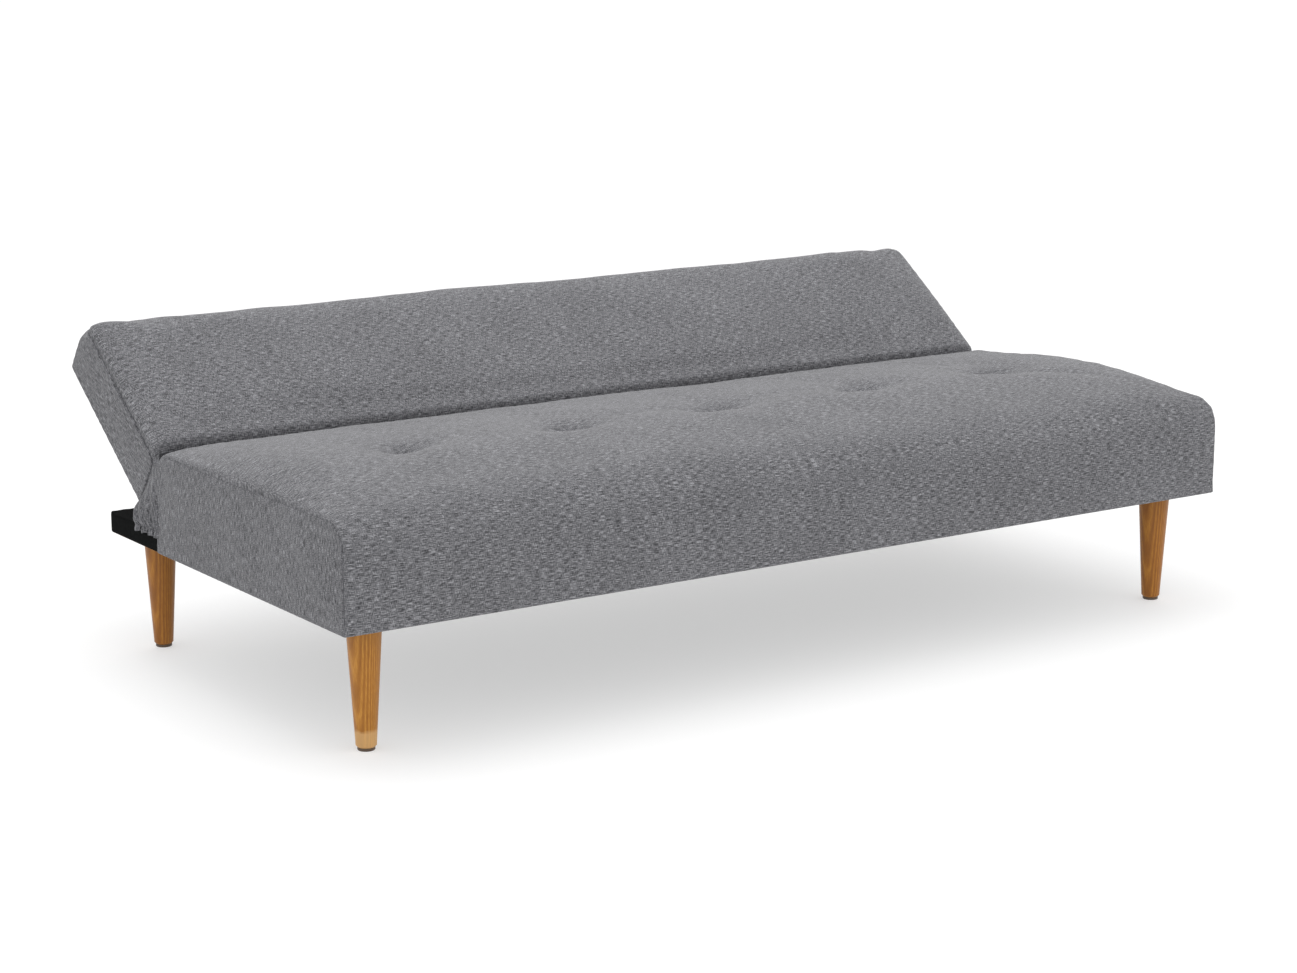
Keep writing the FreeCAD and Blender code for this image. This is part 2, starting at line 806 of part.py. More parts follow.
def back_frame():
    """Board frame of the back, with its centre stile and the webbing across it."""
    deep = ("board_rear", "board_front")
    low = "back_low + cover_wall + board * 0.6"
    high = "back_high - cover_wall - side_padding"
    radius = "screw_radius + fit_clear"
    length = "screw_length + 2"
    for end, side in SIDES:
        x = mirrored_span(side, "back_rail_inside", "back_rail_inside + board")
        rail = block(f"back_rail_{end}_blank", BACK, x, (low, high), deep)
        start = "back_rail_inside - 1" if side > 0 else f"-back_rail_inside + 1 - ({length})"
        holes = [
            rod(f"back_{end}_bore{i}", BACK, start, y, z, radius, length)
            for i, (y, z) in enumerate(BACK_PLATE_SCREWS)
        ]
        keep(cut(f"back_rail_{end}", rail, holes))
    across = ("-back_rail_inside", "back_rail_inside")
    keep(block("back_rail_lower", BACK, across, (low, f"{low} + board"), deep))
    keep(block("back_rail_upper", BACK, across, (f"{high} - board", high), deep))
    between = (f"{low} + board", f"{high} - board")
    keep(block("back_centre_stile", BACK, ("-board", "board"), between, deep))
    straps = []
    count = 6
    for i in range(count):
        x = f"({2 * i + 1} / {count} - 1) * (back_rail_inside - 40)"
        span = (f"{x} - webbing_width / 2", f"{x} + webbing_width / 2")
        straps.append(
            block(f"strap{i}", BACK, span, (low, high), ("board_front", "board_front + webbing"))
        )
    keep(grouped("back_webbing", straps))


def back_slots(label):
    """Where the hinges work inside the back's foam and cover."""
    slots = []
    for end, side in SIDES:
        x = mirrored_span(side, "back_plate_x - slot_side", "seat_plate_x + slot_side")
        y = ("back_low - 1", "pawl_t + 30")
        z = ("board_front - 5", "disc_radius + slot_clear * 2")
        slots.append(block(f"{label}_{end}", BACK, x, y, z))
    return slots


def back_soft():
    """The back's foam, its cover and the panel that closes it behind."""
    inner_half = "back_half - cover_wall"
    inner_y = ("back_low + cover_wall", "back_high - cover_wall")
    inner_front = "back_front - cover_wall"
    inner_rounds = {
        2: "back_upper_round - cover_wall",
        3: "back_lower_round - cover_wall",
    }
    foam = padded_block(
        "back_foam_blank",
        BACK,
        inner_half,
        inner_y,
        ("board_front + webbing + fit_clear", inner_front),
        inner_rounds,
    )
    keep(cut("back_foam", foam, back_slots("back_foam_slot")))
    outer = padded_block(
        "back_cover_outer",
        BACK,
        "back_half",
        ("back_low", "back_high"),
        ("back_rear", "back_front"),
        {2: "back_upper_round", 3: "back_lower_round"},
    )
    inner = padded_block(
        "back_cover_inner",
        BACK,
        inner_half,
        inner_y,
        ("back_rear - 10", inner_front),
        inner_rounds,
    )
    mouths = []
    for end, side in SIDES:
        x = mirrored_span(side, "back_plate_x - slot_side", "seat_plate_x + slot_side")
        y = ("back_low - 1", "disc_radius + slot_clear")
        z = ("-disc_radius - slot_clear * 4", "disc_radius + slot_clear * 2")
        mouths.append(block(f"back_cover_mouth_{end}", BACK, x, y, z))
    keep(cut("back_cover", outer, [inner] + mouths))
    keep(
        block(
            "back_panel",
            BACK,
            (f"-({inner_half}) + fit_clear", f"{inner_half} - fit_clear"),
            (f"{inner_y[0]} + fit_clear", f"{inner_y[1]} - fit_clear"),
            ("back_rear", "back_rear + back_panel"),
        )
    )


def screw(label, frame, side, x, y, z):
    """A wood screw seen from the middle of the sofa: its head against a plate's inner face."""
    long_part = "screw_length + plate"
    if side > 0:
        head_x, shank_x = f"{x} - head_height", f"{x}"
    else:
        head_x, shank_x = f"-({x})", f"-({x}) - ({long_part})"
    head = rod(label + "_head", frame, head_x, y, z, "screw_radius * 1.9", "head_height")
    shank = rod(label + "_shank", frame, shank_x, y, z, "screw_radius", long_part)
    return joined(label, [head, shank])


def seat_plate(end, side):
    """Seat half of a ratchet hinge: a plate on the seat frame with a notched disc."""
    strap = (
        ("frame_rear - 105", "rail_top + 8"),
        ("frame_rear - board - 5", "rail_top + 8"),
        ("frame_rear - board - 5", "frame_top + 2"),
        ("pivot_local + 12", "pivot_height - 16"),
        ("pivot_local - 10", "pivot_height + 12"),
        ("frame_rear - board - 25", "frame_top + 6"),
        ("frame_rear - 105", "rail_top + 54"),
    )
    bore = "screw_radius + fit_clear"
    holes = [(y, z, bore) for y, z in SEAT_PLATE_SCREWS]
    at = (f"{side} * seat_plate_x", "0", "0")
    body = prism(f"seat_strap_{end}", STAND, at, "YZ_Plane", strap, "plate", holes)
    start = "seat_plate_x - plate / 2" if side > 0 else "-seat_plate_x - plate / 2"
    disc = rod(f"disc_{end}", STAND, start, "pivot_local", "pivot_height", "disc_radius", "plate")
    eye = rod(
        f"disc_{end}_eye",
        STAND,
        f"{start} - 1",
        "pivot_local",
        "pivot_height",
        "pin_radius + 0.02",
        "plate + 2",
    )
    notches = []
    for name, angle in (("lounge", RATCHET_LOUNGE), ("upright", RATCHET_UPRIGHT)):
        notch = doc.addObject("Part::Box", f"notch_{name}_{end}")
        notch.Label = f"notch_{name}_{end}"
        bind(notch, Length="plate + 2", Width="notch_depth + 5", Height="notch_depth + 3")
        notch.Placement = FreeCAD.Placement(V(), FreeCAD.Rotation(V(1, 0, 0), 1))
        notch.setExpression("Placement.Rotation.Angle", formula(angle))
        notch.setExpression("Placement.Base.x", formula(f"{start} - 1"))
        near = "(disc_radius - notch_depth)"
        notch.setExpression("Placement.Base.y", formula(f"pivot_y + {near} * cos({angle})"))
        notch.setExpression("Placement.Base.z", formula(f"pivot_height + {near} * sin({angle})"))
        notches.append(notch)
    whole = joined(f"seat_plate_{end}_whole", [body, disc])
    keep(cut(f"hinge_seat_plate_{end}", whole, [eye] + notches))


# Where the pawl meets the disc, from level: with the back in the lounge position, and
# with it upright, 34 degrees further.
RATCHET_LOUNGE = "back_angle - 12"
RATCHET_UPRIGHT = "back_angle + 22"


def back_plate(end, side):
    """Back half of a ratchet hinge: a plate on the back frame that turns on the pivot pin."""
    outline = (
        ("-15", "-12"),
        ("board + 15", "board_front + 1"),
        ("board + 15", "board_rear + 5"),
        ("board * 5 + 12", "board_rear + 5"),
        ("board * 5 + 12", "board_front - 7"),
        ("pawl_t + 20", "board_front + 1"),
        ("pawl_t + 12", "pawl_n + 14"),
        ("6", "16"),
        ("-15", "12"),
    )
    bore = "screw_radius + fit_clear"
    holes = [(y, z, bore) for y, z in BACK_PLATE_SCREWS]
    holes.append(("0", "0", "pin_radius + run_clear"))
    holes.append(("pawl_t", "pawl_n", "pawl_pin_radius + fit_clear"))
    at = (f"{side} * back_plate_x", "0", "0")
    keep(
        prism(
            f"hinge_back_plate_{end}",
            BACK,
            at,
            "YZ_Plane",
            outline,
            "plate",
            holes,
            rounds={0: "8", 8: "8"},
        )
    )


def pivot_pin(end, side):
    """Rivet that the two plates of a hinge turn on: a shank with a head at each end."""
    inner = "back_plate_x - plate / 2 - plate_gap"
    outer = "seat_plate_x + plate / 2"
    centre = ("pivot_local", "pivot_height")
    shank_x = inner if side > 0 else f"-({outer})"
    shank = rod(f"pin_{end}_shank", STAND, shank_x, *centre, "pin_radius", f"{outer} - ({inner})")
    heads = []
    for i, x in enumerate((f"{inner} - head_height", outer)):
        head_x = x if side > 0 else f"-({x}) - head_height"
        heads.append(rod(f"pin_{end}_head{i}", STAND, head_x, *centre, "pin_head", "head_height"))
    keep(joined(f"pivot_pin_{end}", [shank] + heads))


def pawl(end, side):
    """Pawl that drops into the disc's notches, drawn riding clear of the disc's rim."""
    outline = (
        ("-6", "-6"),
        ("0", "-7.5"),
        ("pawl_length", "-2.5"),
        ("pawl_length", "2.5"),
        ("0", "7.5"),
        ("-6", "6"),
    )
    keep(
        prism(
            f"pawl_{end}",
            BACK,
            (f"{side} * seat_plate_x", "pawl_t", "pawl_n"),
            "YZ_Plane",
            outline,
            "plate",
            holes=[("0", "0", "pawl_pin_radius + run_clear")],
            rounds={0: "3", 5: "3"},
            turn="pawl_turn",
        )
    )


def pawl_hardware():
    """Pins of the pawls, and the close-wound coil on each that presses its pawl to the disc.

    The coil's turns are rings that run into each other.
    """
    pins = []
    coils = []
    turns = 3
    pitch = "(coil_wire * 0.9)"
    gap = f"coil_wire * 3 + {turns} * {pitch}"
    spot = ("pawl_t", "pawl_n")
    for end, side in SIDES:
        inner = "back_plate_x - plate / 2"
        outer = "seat_plate_x + plate / 2"
        shank_x = inner if side > 0 else f"-({outer}) - ({gap})"
        length = f"{outer} - ({inner}) + ({gap})"
        shank = rod(f"pawl_pin_{end}_shank", BACK, shank_x, *spot, "pawl_pin_radius", length)
        heads = []
        for i, x in enumerate((f"{inner} - rivet_head", f"{outer} + {gap}")):
            head_x = x if side > 0 else f"-({x}) - rivet_head"
            radius = "pawl_pin_radius + 2"
            label = f"pawl_pin_{end}_head{i}"
            heads.append(rod(label, BACK, head_x, *spot, radius, "rivet_head"))
        pins.append(joined(f"pawl_pin_{end}", [shank] + heads))
        rings = []
        for i in range(turns):
            ring = doc.addObject("Part::Torus", f"coil_{end}_{i}")
            ring.Label = f"coil_{end}_{i}"
            bind(ring, Radius1="pawl_pin_radius + coil_wire + 0.3", Radius2="coil_wire / 2")
            x = f"{side} * ({outer} + coil_wire * 1.5 + {i} * {pitch})"
            put(ring, BACK, x, *spot)
            face_along_x(ring)
            rings.append(ring)
        coils.append(joined(f"coil_{end}", rings))
    keep(grouped("pawl_pins", pins))
    keep(grouped("pawl_springs", coils))


def hinges():
    """A ratchet hinge at each end of the sofa, with its screws."""
    seat_screws = []
    back_screws = []
    for end, side in SIDES:
        seat_plate(end, side)
        back_plate(end, side)
        pivot_pin(end, side)
        pawl(end, side)
        for i, (y, z) in enumerate(SEAT_PLATE_SCREWS):
            label = f"seat_screw_{end}_{i}"
            seat_screws.append(screw(label, STAND, side, "seat_plate_x - plate / 2", y, z))
        for i, (y, z) in enumerate(BACK_PLATE_SCREWS):
            label = f"back_screw_{end}_{i}"
            back_screws.append(screw(label, BACK, side, "back_plate_x - plate / 2", y, z))
    pawl_hardware()
    keep(grouped("hinge_screws_seat", seat_screws))
    keep(grouped("hinge_screws_back", back_screws))


def gussets():
    """Cloth behind the seat: a gathered gusset at each end and a skirt between them."""
    lower_y = "pivot_local + back_low * cos(back_angle)"
    lower_z = "pivot_height + back_low * sin(back_angle)"
    heel_y = f"{lower_y} - back_rear * sin(back_angle)"
    heel_z = f"{lower_z} + back_rear * cos(back_angle)"
    toe_y = f"{lower_y} - (back_front - back_lower_round) * sin(back_angle)"
    toe_z = f"{lower_z} + (back_front - back_lower_round) * cos(back_angle)"
    floor = "base_top + gusset_clear / 2"
    behind = "seat_depth + gusset_clear"
    outline = (
        (behind, floor),
        (f"{heel_y} + 14", floor),
        (f"{heel_y} - 1", f"{heel_z} - gusset_clear * 2"),
        (behind, f"{toe_z} - ({behind} - ({toe_y})) / tan(back_angle) - gusset_clear * 2"),
    )
    for end, side in SIDES:
        at = (f"{side} * (half_width - gusset_cloth * 1.5)", "0", "0")
        keep(prism(f"gusset_{end}", STAND, at, "YZ_Plane", outline, "gusset_cloth"))
    foot = f"{heel_y} + 14"
    skirt = (
        (f"{foot} - gusset_cloth", floor),
        (foot, floor),
        (f"{heel_y} - 1", f"{heel_z} - gusset_clear * 2"),
        (f"{heel_y} - 1 - gusset_cloth", f"{heel_z} - gusset_clear * 2"),
    )
    length = "2 * (half_width - gusset_cloth * 2 - gusset_clear)"
    keep(prism("skirt_rear", STAND, ("0", "0", "0"), "YZ_Plane", skirt, length))


def check_and_write():
    """Refuse a failed object or a bad solid, then write each node's file."""
    doc.recompute()
    for thing in doc.Objects:
        if {"Invalid", "Error"} & set(thing.State):
            raise RuntimeError(f"{thing.Label} failed: {thing.State}")
    os.makedirs("parts", exist_ok=True)
    labels = [piece.Label for piece in NODES]
    if len(labels) != len(set(labels)):
        raise RuntimeError("two nodes share a name")
    for piece in NODES:
        shape = piece.Shape
        if shape.isNull() or not shape.isValid() or not shape.Solids:
            raise RuntimeError(f"{piece.Label} is not a valid solid")
        if min(solid.Volume for solid in shape.Solids) <= 0:
            raise RuntimeError(f"{piece.Label} has a solid with no volume")
        shape.exportStep(f"parts/{piece.Label}.step")
        print(f"{piece.Label}: {len(shape.Solids)} solids, {shape.Volume / 1000:.1f} cm3")


legs()
leg_hardware()
base()
base_cover()
seat_frame()
springs()
tufts()
seat_soft()
back_frame()
back_soft()
hinges()
gussets()
check_and_write()
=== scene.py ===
"""A click-clack sofa bed, dressed around its CAD frame.

Lengths are metres.  X runs along the sofa, Y from front to rear, Z up from the floor.
The padded pieces are numpy surfaces shaped by formulas, and the seat's and back's covers
also take a share of a cloth simulation.  The frame, legs and hinges are the CAD nodes with
finishes of their own.
"""

import json
import logging
import math
from dataclasses import dataclass, field
from enum import Enum

import bpy
import numpy as np
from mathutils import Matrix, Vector


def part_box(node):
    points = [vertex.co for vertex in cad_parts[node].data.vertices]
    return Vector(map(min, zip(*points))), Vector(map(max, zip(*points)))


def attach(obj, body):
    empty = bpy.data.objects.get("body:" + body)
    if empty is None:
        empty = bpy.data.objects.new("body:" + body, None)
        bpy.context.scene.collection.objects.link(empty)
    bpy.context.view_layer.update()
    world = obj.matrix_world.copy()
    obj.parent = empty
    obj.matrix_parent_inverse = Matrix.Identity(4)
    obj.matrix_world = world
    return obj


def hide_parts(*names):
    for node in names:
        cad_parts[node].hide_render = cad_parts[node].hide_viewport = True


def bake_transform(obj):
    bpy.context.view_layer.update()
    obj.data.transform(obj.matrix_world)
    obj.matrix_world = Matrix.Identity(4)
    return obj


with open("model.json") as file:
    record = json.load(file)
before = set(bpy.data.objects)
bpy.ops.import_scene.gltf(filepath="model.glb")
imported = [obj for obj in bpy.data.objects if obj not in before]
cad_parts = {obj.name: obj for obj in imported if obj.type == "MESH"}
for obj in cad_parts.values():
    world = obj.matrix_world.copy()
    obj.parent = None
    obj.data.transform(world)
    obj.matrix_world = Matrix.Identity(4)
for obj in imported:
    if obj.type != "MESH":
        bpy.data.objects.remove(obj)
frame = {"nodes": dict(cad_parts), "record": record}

MM = 0.001
WAVE = 0.314  # a wave texture of scale WAVE / d repeats every d metres
LOG = logging.getLogger("sofa_bed")
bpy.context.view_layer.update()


# ---------------------------------------------------------------------------- meshes


@dataclass
class Cloth:
    """A mesh in the making: its points, its four-sided faces and where each face's weave lies."""

    points: np.ndarray
    quads: np.ndarray
    weave: np.ndarray
    # share of painted seam shade at each point, or None
    seam: np.ndarray | None = None

    def normals(self) -> np.ndarray:
        """Outward direction at each point: the sum of its faces' cross products, made unit."""
        a, b, c, d = (self.points[self.quads[:, i]] for i in range(4))
        flat = np.cross(c - a, d - b)
        total = np.zeros_like(self.points)
        for i in range(4):
            np.add.at(total, self.quads[:, i], flat)
        length = np.linalg.norm(total, axis=1, keepdims=True)
        return total / np.maximum(length, 1e-12)

    def build(self, name: str) -> bpy.types.Object:
        """Put the arrays into a new object at the origin.

        Args:
            name: the piece's name.

        Returns:
            The object, smooth shaded, with its weave map and its seam attribute of painted shade.
        """
        mesh = bpy.data.meshes.new(name)
        count = len(self.quads)
        mesh.vertices.add(len(self.points))
        mesh.vertices.foreach_set("co", self.points.astype(np.float32).ravel())
        mesh.loops.add(count * 4)
        mesh.loops.foreach_set("vertex_index", self.quads.astype(np.int32).ravel())
        mesh.polygons.add(count)
        mesh.polygons.foreach_set("loop_start", np.arange(0, count * 4, 4, dtype=np.int32))
        mesh.polygons.foreach_set("use_smooth", np.ones(count, dtype=bool))
        mesh.update(calc_edges=True)
        layer = mesh.uv_layers.new(name="weave")
        layer.uv.foreach_set("vector", self.weave.astype(np.float32).ravel())
        if self.seam is not None:
            shade = mesh.attributes.new("seam", "FLOAT", "POINT")
            shade.data.foreach_set("value", self.seam.astype(np.float32))
        mesh.validate()
        piece = bpy.data.objects.new(name, mesh)
        bpy.context.scene.collection.objects.link(piece)
        return piece


def graded(low: float, high: float, step: float, band: float = 0.026, fine: int = 10) -> np.ndarray:
    """Places from low to high: close together near both ends, and a step apart between.

    The places in each end band go as the power 1.6 of their number.

    Args:
        low: first place.
        high: last place.
        step: distance between places in the middle.
        band: width of each fine band.
        fine: number of places in a fine band.

    Returns:
        The places in order.
    """
    ramp = band * np.linspace(0.0, 1.0, fine + 1) ** 1.6
    count = max(1, round((high - low - 2 * band) / step))
    middle = np.linspace(low + band, high - band, count + 1)
    return np.concatenate((low + ramp[:-1], middle, (high - ramp[:-1])[::-1]))


class Side(Enum):
    """The six faces of a box lattice, numbered."""

    LEFT = 0
    RIGHT = 1
    NEAR = 2
    FAR = 3
    UNDER = 4
    UPPER = 5


def box_lattice(
    xs: np.ndarray, ys: np.ndarray, zs: np.ndarray
) -> tuple[np.ndarray, np.ndarray, np.ndarray]:
    """Grids over the six faces of a box, sharing their border points.

    Each face is a slice of the box's full lattice, seen from outside, and the lattice
    points that no face uses are left out.

    Args:
        xs: places along X.
        ys: places along Y.
        zs: places along Z.

    Returns:
        The points, the quads, and the Side number of each quad.
    """
    ids = np.arange(len(xs) * len(ys) * len(zs)).reshape(len(xs), len(ys), len(zs))
    slices = {
        Side.LEFT: ids[0].T,
        Side.RIGHT: ids[-1],
        Side.NEAR: ids[:, 0],
        Side.FAR: ids[:, -1].T,
        Side.UNDER: ids[:, :, 0].T,
        Side.UPPER: ids[:, :, -1],
    }
    quads, sides = [], []
    for side, face in slices.items():
        ring = (face[:-1, :-1], face[1:, :-1], face[1:, 1:], face[:-1, 1:])
        quads.append(np.stack([corner.ravel() for corner in ring], axis=1))
        sides.append(np.full(len(quads[-1]), side.value))
    used, quads = np.unique(np.concatenate(quads), return_inverse=True)
    place = np.unravel_index(used, ids.shape)
    points = np.stack((xs[place[0]], ys[place[1]], zs[place[2]]), axis=1)
    return points, quads.reshape(-1, 4), np.concatenate(sides)


def at_end(sides: np.ndarray) -> np.ndarray:
    """Which quads lie on a box's left or right face."""
    return np.isin(sides, (Side.LEFT.value, Side.RIGHT.value))


def plan_weave(flat: np.ndarray, quads: np.ndarray) -> np.ndarray:
    """Cloth coordinates of each quad's corners, seen straight from above."""
    return flat[quads][..., :2].reshape(-1, 2)


def grid_cloth(points: np.ndarray, across: np.ndarray, along: np.ndarray) -> Cloth:
    """A sheet from a grid of points.

    Args:
        points: rows x columns x 3.
        across: cloth length along a row, for the weave.
        along: cloth length down the columns.

    Returns:
        The sheet, one quad to each cell.
    """
    rows, columns = points.shape[:2]
    ids = np.arange(rows * columns).reshape(rows, columns)
    ring = (ids[:-1, :-1], ids[:-1, 1:], ids[1:, 1:], ids[1:, :-1])
    quads = np.stack([corner.ravel() for corner in ring], axis=1)
    place = np.stack(np.broadcast_arrays(across[None, :], along[:, None]), axis=-1).reshape(-1, 2)
    return Cloth(points.reshape(-1, 3), quads, place[quads].reshape(-1, 2))


def build_thick(cloth: Cloth, name: str, thickness: float) -> bpy.types.Object:
    """Build a sheet and give it a thickness inwards with Solidify."""
    piece = cloth.build(name)
    shell = piece.modifiers.new("thickness", "SOLIDIFY")
    shell.thickness = thickness
    shell.offset = -1.0
    return piece


def smooth(low: float, high: float, values: np.ndarray) -> np.ndarray:
    """0 below low, 1 above high, and 3t^2 - 2t^3 between."""
    t = np.clip((values - low) / (high - low), 0.0, 1.0)
    return t * t * (3.0 - 2.0 * t)


def bell(values: np.ndarray, width: float) -> np.ndarray:
    """exp(-(v / width)^2)."""
    return np.exp(-((values / width) ** 2))


def swell(distance: np.ndarray, width: float) -> np.ndarray:
    """A quarter of an ellipse: 0 at the seam, upright there, and level at 1 from width on."""
    t = np.clip(distance / width, 0.0, 1.0)
    return np.sqrt(np.maximum(0.0, 1.0 - (1.0 - t) ** 2))


def uneven(a: np.ndarray, b: np.ndarray, length: float, seed: int, waves: int = 9) -> np.ndarray:
    """Soft unevenness between about -1 and 1: a sum of plane waves of about one length.

    Args:
        a: first coordinate.
        b: second coordinate.
        length: typical wavelength.
        seed: seed of the waves' directions, lengths and phases.
        waves: number of waves.

    Returns:
        The height at each point.
    """
    draw = np.random.default_rng(seed)
    total = np.zeros_like(a)
    for turn, stretch, phase in draw.uniform(0.0, 1.0, (waves, 3)):
        angle = turn * math.tau
        k = math.tau / (length * (0.7 + 0.8 * stretch))
        total += np.sin(k * (a * math.cos(angle) + b * math.sin(angle)) + phase * math.tau)
    return total / math.sqrt(waves * 2.0)


def round_corner(points: np.ndarray, u_axis: int, v_axis: int, corner: tuple, radius: float) -> None:
    """Round one long edge of a box, moving what lies inside along with it.

    Within a radius of the corner a square is laid onto a quarter disc:
    u' = u sqrt(1 - v^2 / 2) and v' = v sqrt(1 - u^2 / 2).

    Args:
        points: the box's points, changed in place.
        u_axis: first axis across the edge.
        v_axis: second axis across the edge.
        corner: the edge's place and outward sign on each axis, (u, sign, v, sign).
        radius: radius of the rounding.
    """
    u_edge, u_sign, v_edge, v_sign = corner
    u = ((points[:, u_axis] - u_edge) * u_sign + radius) / radius
    v = ((points[:, v_axis] - v_edge) * v_sign + radius) / radius
    near = (u > 0.0) & (v > 0.0)
    u, v = u[near], v[near]
    disc_u = u * np.sqrt(1.0 - v * v / 2.0)
    disc_v = v * np.sqrt(1.0 - u * u / 2.0)
    points[near, u_axis] = u_edge + u_sign * (disc_u - 1.0) * radius
    points[near, v_axis] = v_edge + v_sign * (disc_v - 1.0) * radius


def soften_edges(points: np.ndarray, low: np.ndarray, high: np.ndarray, radius: float) -> np.ndarray:
    """Round all edges of a box by one radius.

    A point is set a radius out from the nearest point of the box shrunk by the radius.

    Args:
        points: points on or in the box.
        low: the box's lowest corner.
        high: its highest corner.
        radius: radius of the rounding.

    Returns:
        The moved points.
    """
    inner = np.clip(points, low + radius, high - radius)
    away = points - inner
    length = np.linalg.norm(away, axis=1, keepdims=True)
    return np.where(length > 1e-9, inner + radius * away / np.maximum(length, 1e-9), points)


@dataclass(frozen=True)
class Blowing:
    """How a cover is blown up as cloth: air pressure, cloth stiffness and how far it may go."""

    pressure: float = 4.0
    tension: float = 18.0
    bending: float = 1.2
    spare: float = 0.012
    frames: int = 20
    cap: float = 0.024

    def blow(self, cloth: Cloth, held: np.ndarray) -> np.ndarray:
        """Run Blender's cloth on a copy of the cover and read where its points end.

        Args:
            cloth: the cover.
            held: how firmly each point is held by seams, tufts and frame, from 0 to 1.

        Returns:
            How far each point moved, no further than the cap.
        """
        piece = cloth.build("cover_being_blown")
        group = piece.vertex_groups.new(name="held")
        for level in np.unique(np.round(held, 1)):
            if level > 0.0:
                members = np.flatnonzero(np.round(held, 1) == level)
                group.add(members.tolist(), float(level), "REPLACE")
        modifier = piece.modifiers.new("Cloth", "CLOTH")
        settings = modifier.settings
        settings.quality = 5
        settings.mass = 0.3
        settings.tension_stiffness = self.tension
        settings.compression_stiffness = self.tension
        settings.shear_stiffness = self.tension * 0.4
        settings.bending_stiffness = self.bending
        settings.shrink_min = -self.spare
        settings.use_pressure = True
        settings.uniform_pressure_force = self.pressure
        settings.vertex_group_mass = "held"
        settings.effector_weights.gravity = 0.0
        modifier.collision_settings.use_collision = False
        modifier.point_cache.frame_start = 1
        modifier.point_cache.frame_end = self.frames
        scene = bpy.context.scene
        for number in range(1, self.frames + 1):
            scene.frame_set(number)
        graph = bpy.context.evaluated_depsgraph_get()
        result = piece.evaluated_get(graph).to_mesh()
        moved = np.empty(len(cloth.points) * 3, dtype=np.float32)
        result.vertices.foreach_get("co", moved)
        moved = moved.reshape(-1, 3).astype(float) - cloth.points
        mesh = piece.data
        bpy.data.objects.remove(piece)
        bpy.data.meshes.remove(mesh)
        scene.frame_set(1)
        length = np.linalg.norm(moved, axis=1, keepdims=True)
        return moved * np.minimum(1.0, self.cap / np.maximum(length, 1e-9))


# ------------------------------------------------------------------------- materials


def linear(colour: str) -> tuple[float, float, float, float]:
    """An sRGB hex value as linear light: c / 12.92 when dark, else ((c + 0.055) / 1.055)^2.4."""
    parts = [int(colour[i : i + 2], 16) / 255.0 for i in (1, 3, 5)]
    light = [c / 12.92 if c <= 0.04045 else ((c + 0.055) / 1.055) ** 2.4 for c in parts]
    return (*light, 1.0)


def add(
    tree: bpy.types.NodeTree,
    kind: str,
    sets: dict | None = None,
    links: dict | None = None,
    **props: object,
) -> bpy.types.Node:
    """Add a node with its settings and links.

    Args:
        tree: the material's tree.
        kind: the node's type.
        sets: input name or number to value.
        links: input name or number to the socket that feeds it.
        props: the node's own properties.

    Returns:
        The node.
    """
    node = tree.nodes.new(kind)
    for name, setting in props.items():
        setattr(node, name, setting)
    for name, setting in (sets or {}).items():
        node.inputs[name].default_value = setting
    for name, socket in (links or {}).items():
        tree.links.new(socket, node.inputs[name])
    return node


def ramp(
    tree: bpy.types.NodeTree, factor: bpy.types.NodeSocket, stops: list[tuple[float, str]]
) -> bpy.types.NodeSocket:
    """Colour a factor through stops.

    Args:
        tree: the material's tree.
        factor: the socket to colour.
        stops: place and sRGB hex of each stop, in order.

    Returns:
        The colour's socket.
    """
    node = add(tree, "ShaderNodeValToRGB", links={0: factor})
    elements = node.color_ramp.elements
    while len(elements) < len(stops):
        elements.new(0.5)
    for element, (place, colour) in zip(elements, stops):
        element.position = place
        element.color = linear(colour)
    return node.outputs["Color"]


def multiply_add(
    tree: bpy.types.NodeTree,
    value: bpy.types.NodeSocket,
    factor: float,
    extra: bpy.types.NodeSocket,
) -> bpy.types.NodeSocket:
    """value * factor + extra."""
    node = add(tree, "ShaderNodeMath", {1: factor}, {0: value, 2: extra}, operation="MULTIPLY_ADD")
    return node.outputs[0]


def mapped(
    tree: bpy.types.NodeTree, place: bpy.types.NodeSocket, scale: tuple, **sets: tuple
) -> bpy.types.NodeSocket:
    """Coordinates in units of a pattern's own size, scale, with Location and Rotation in sets."""
    sets["Scale"] = tuple(scale)
    node = add(tree, "ShaderNodeMapping", sets, {"Vector": place}, vector_type="TEXTURE")
    return node.outputs[0]


def noise(
    tree: bpy.types.NodeTree,
    place: bpy.types.NodeSocket,
    scale: float,
    detail: float,
    roughness: float = 0.5,
    dimensions: str = "3D",
) -> bpy.types.NodeSocket:
    """Smooth noise between 0 and 1."""
    sets = {"Scale": scale, "Detail": detail, "Roughness": roughness}
    links = {"Vector": place}
    node = add(tree, "ShaderNodeTexNoise", sets, links, noise_dimensions=dimensions)
    return node.outputs[0]


def mix(
    tree: bpy.types.NodeTree, factor: bpy.types.NodeSocket, colour: bpy.types.NodeSocket, other: str
) -> bpy.types.NodeSocket:
    """A colour that turns to another, given in sRGB hex, with a factor."""
    sets, links = {7: linear(other)}, {0: factor, 6: colour}
    return add(tree, "ShaderNodeMix", sets, links, data_type="RGBA").outputs[2]


def emboss(
    tree: bpy.types.NodeTree,
    shader: bpy.types.Node,
    height: bpy.types.NodeSocket,
    strength: float,
    relief: float,
) -> None:
    """Give a shader the relief of a height pattern."""
    sets = {"Strength": strength, "Distance": relief}
    bump = add(tree, "ShaderNodeBump", sets, {"Height": height})
    tree.links.new(bump.outputs[0], shader.inputs["Normal"])


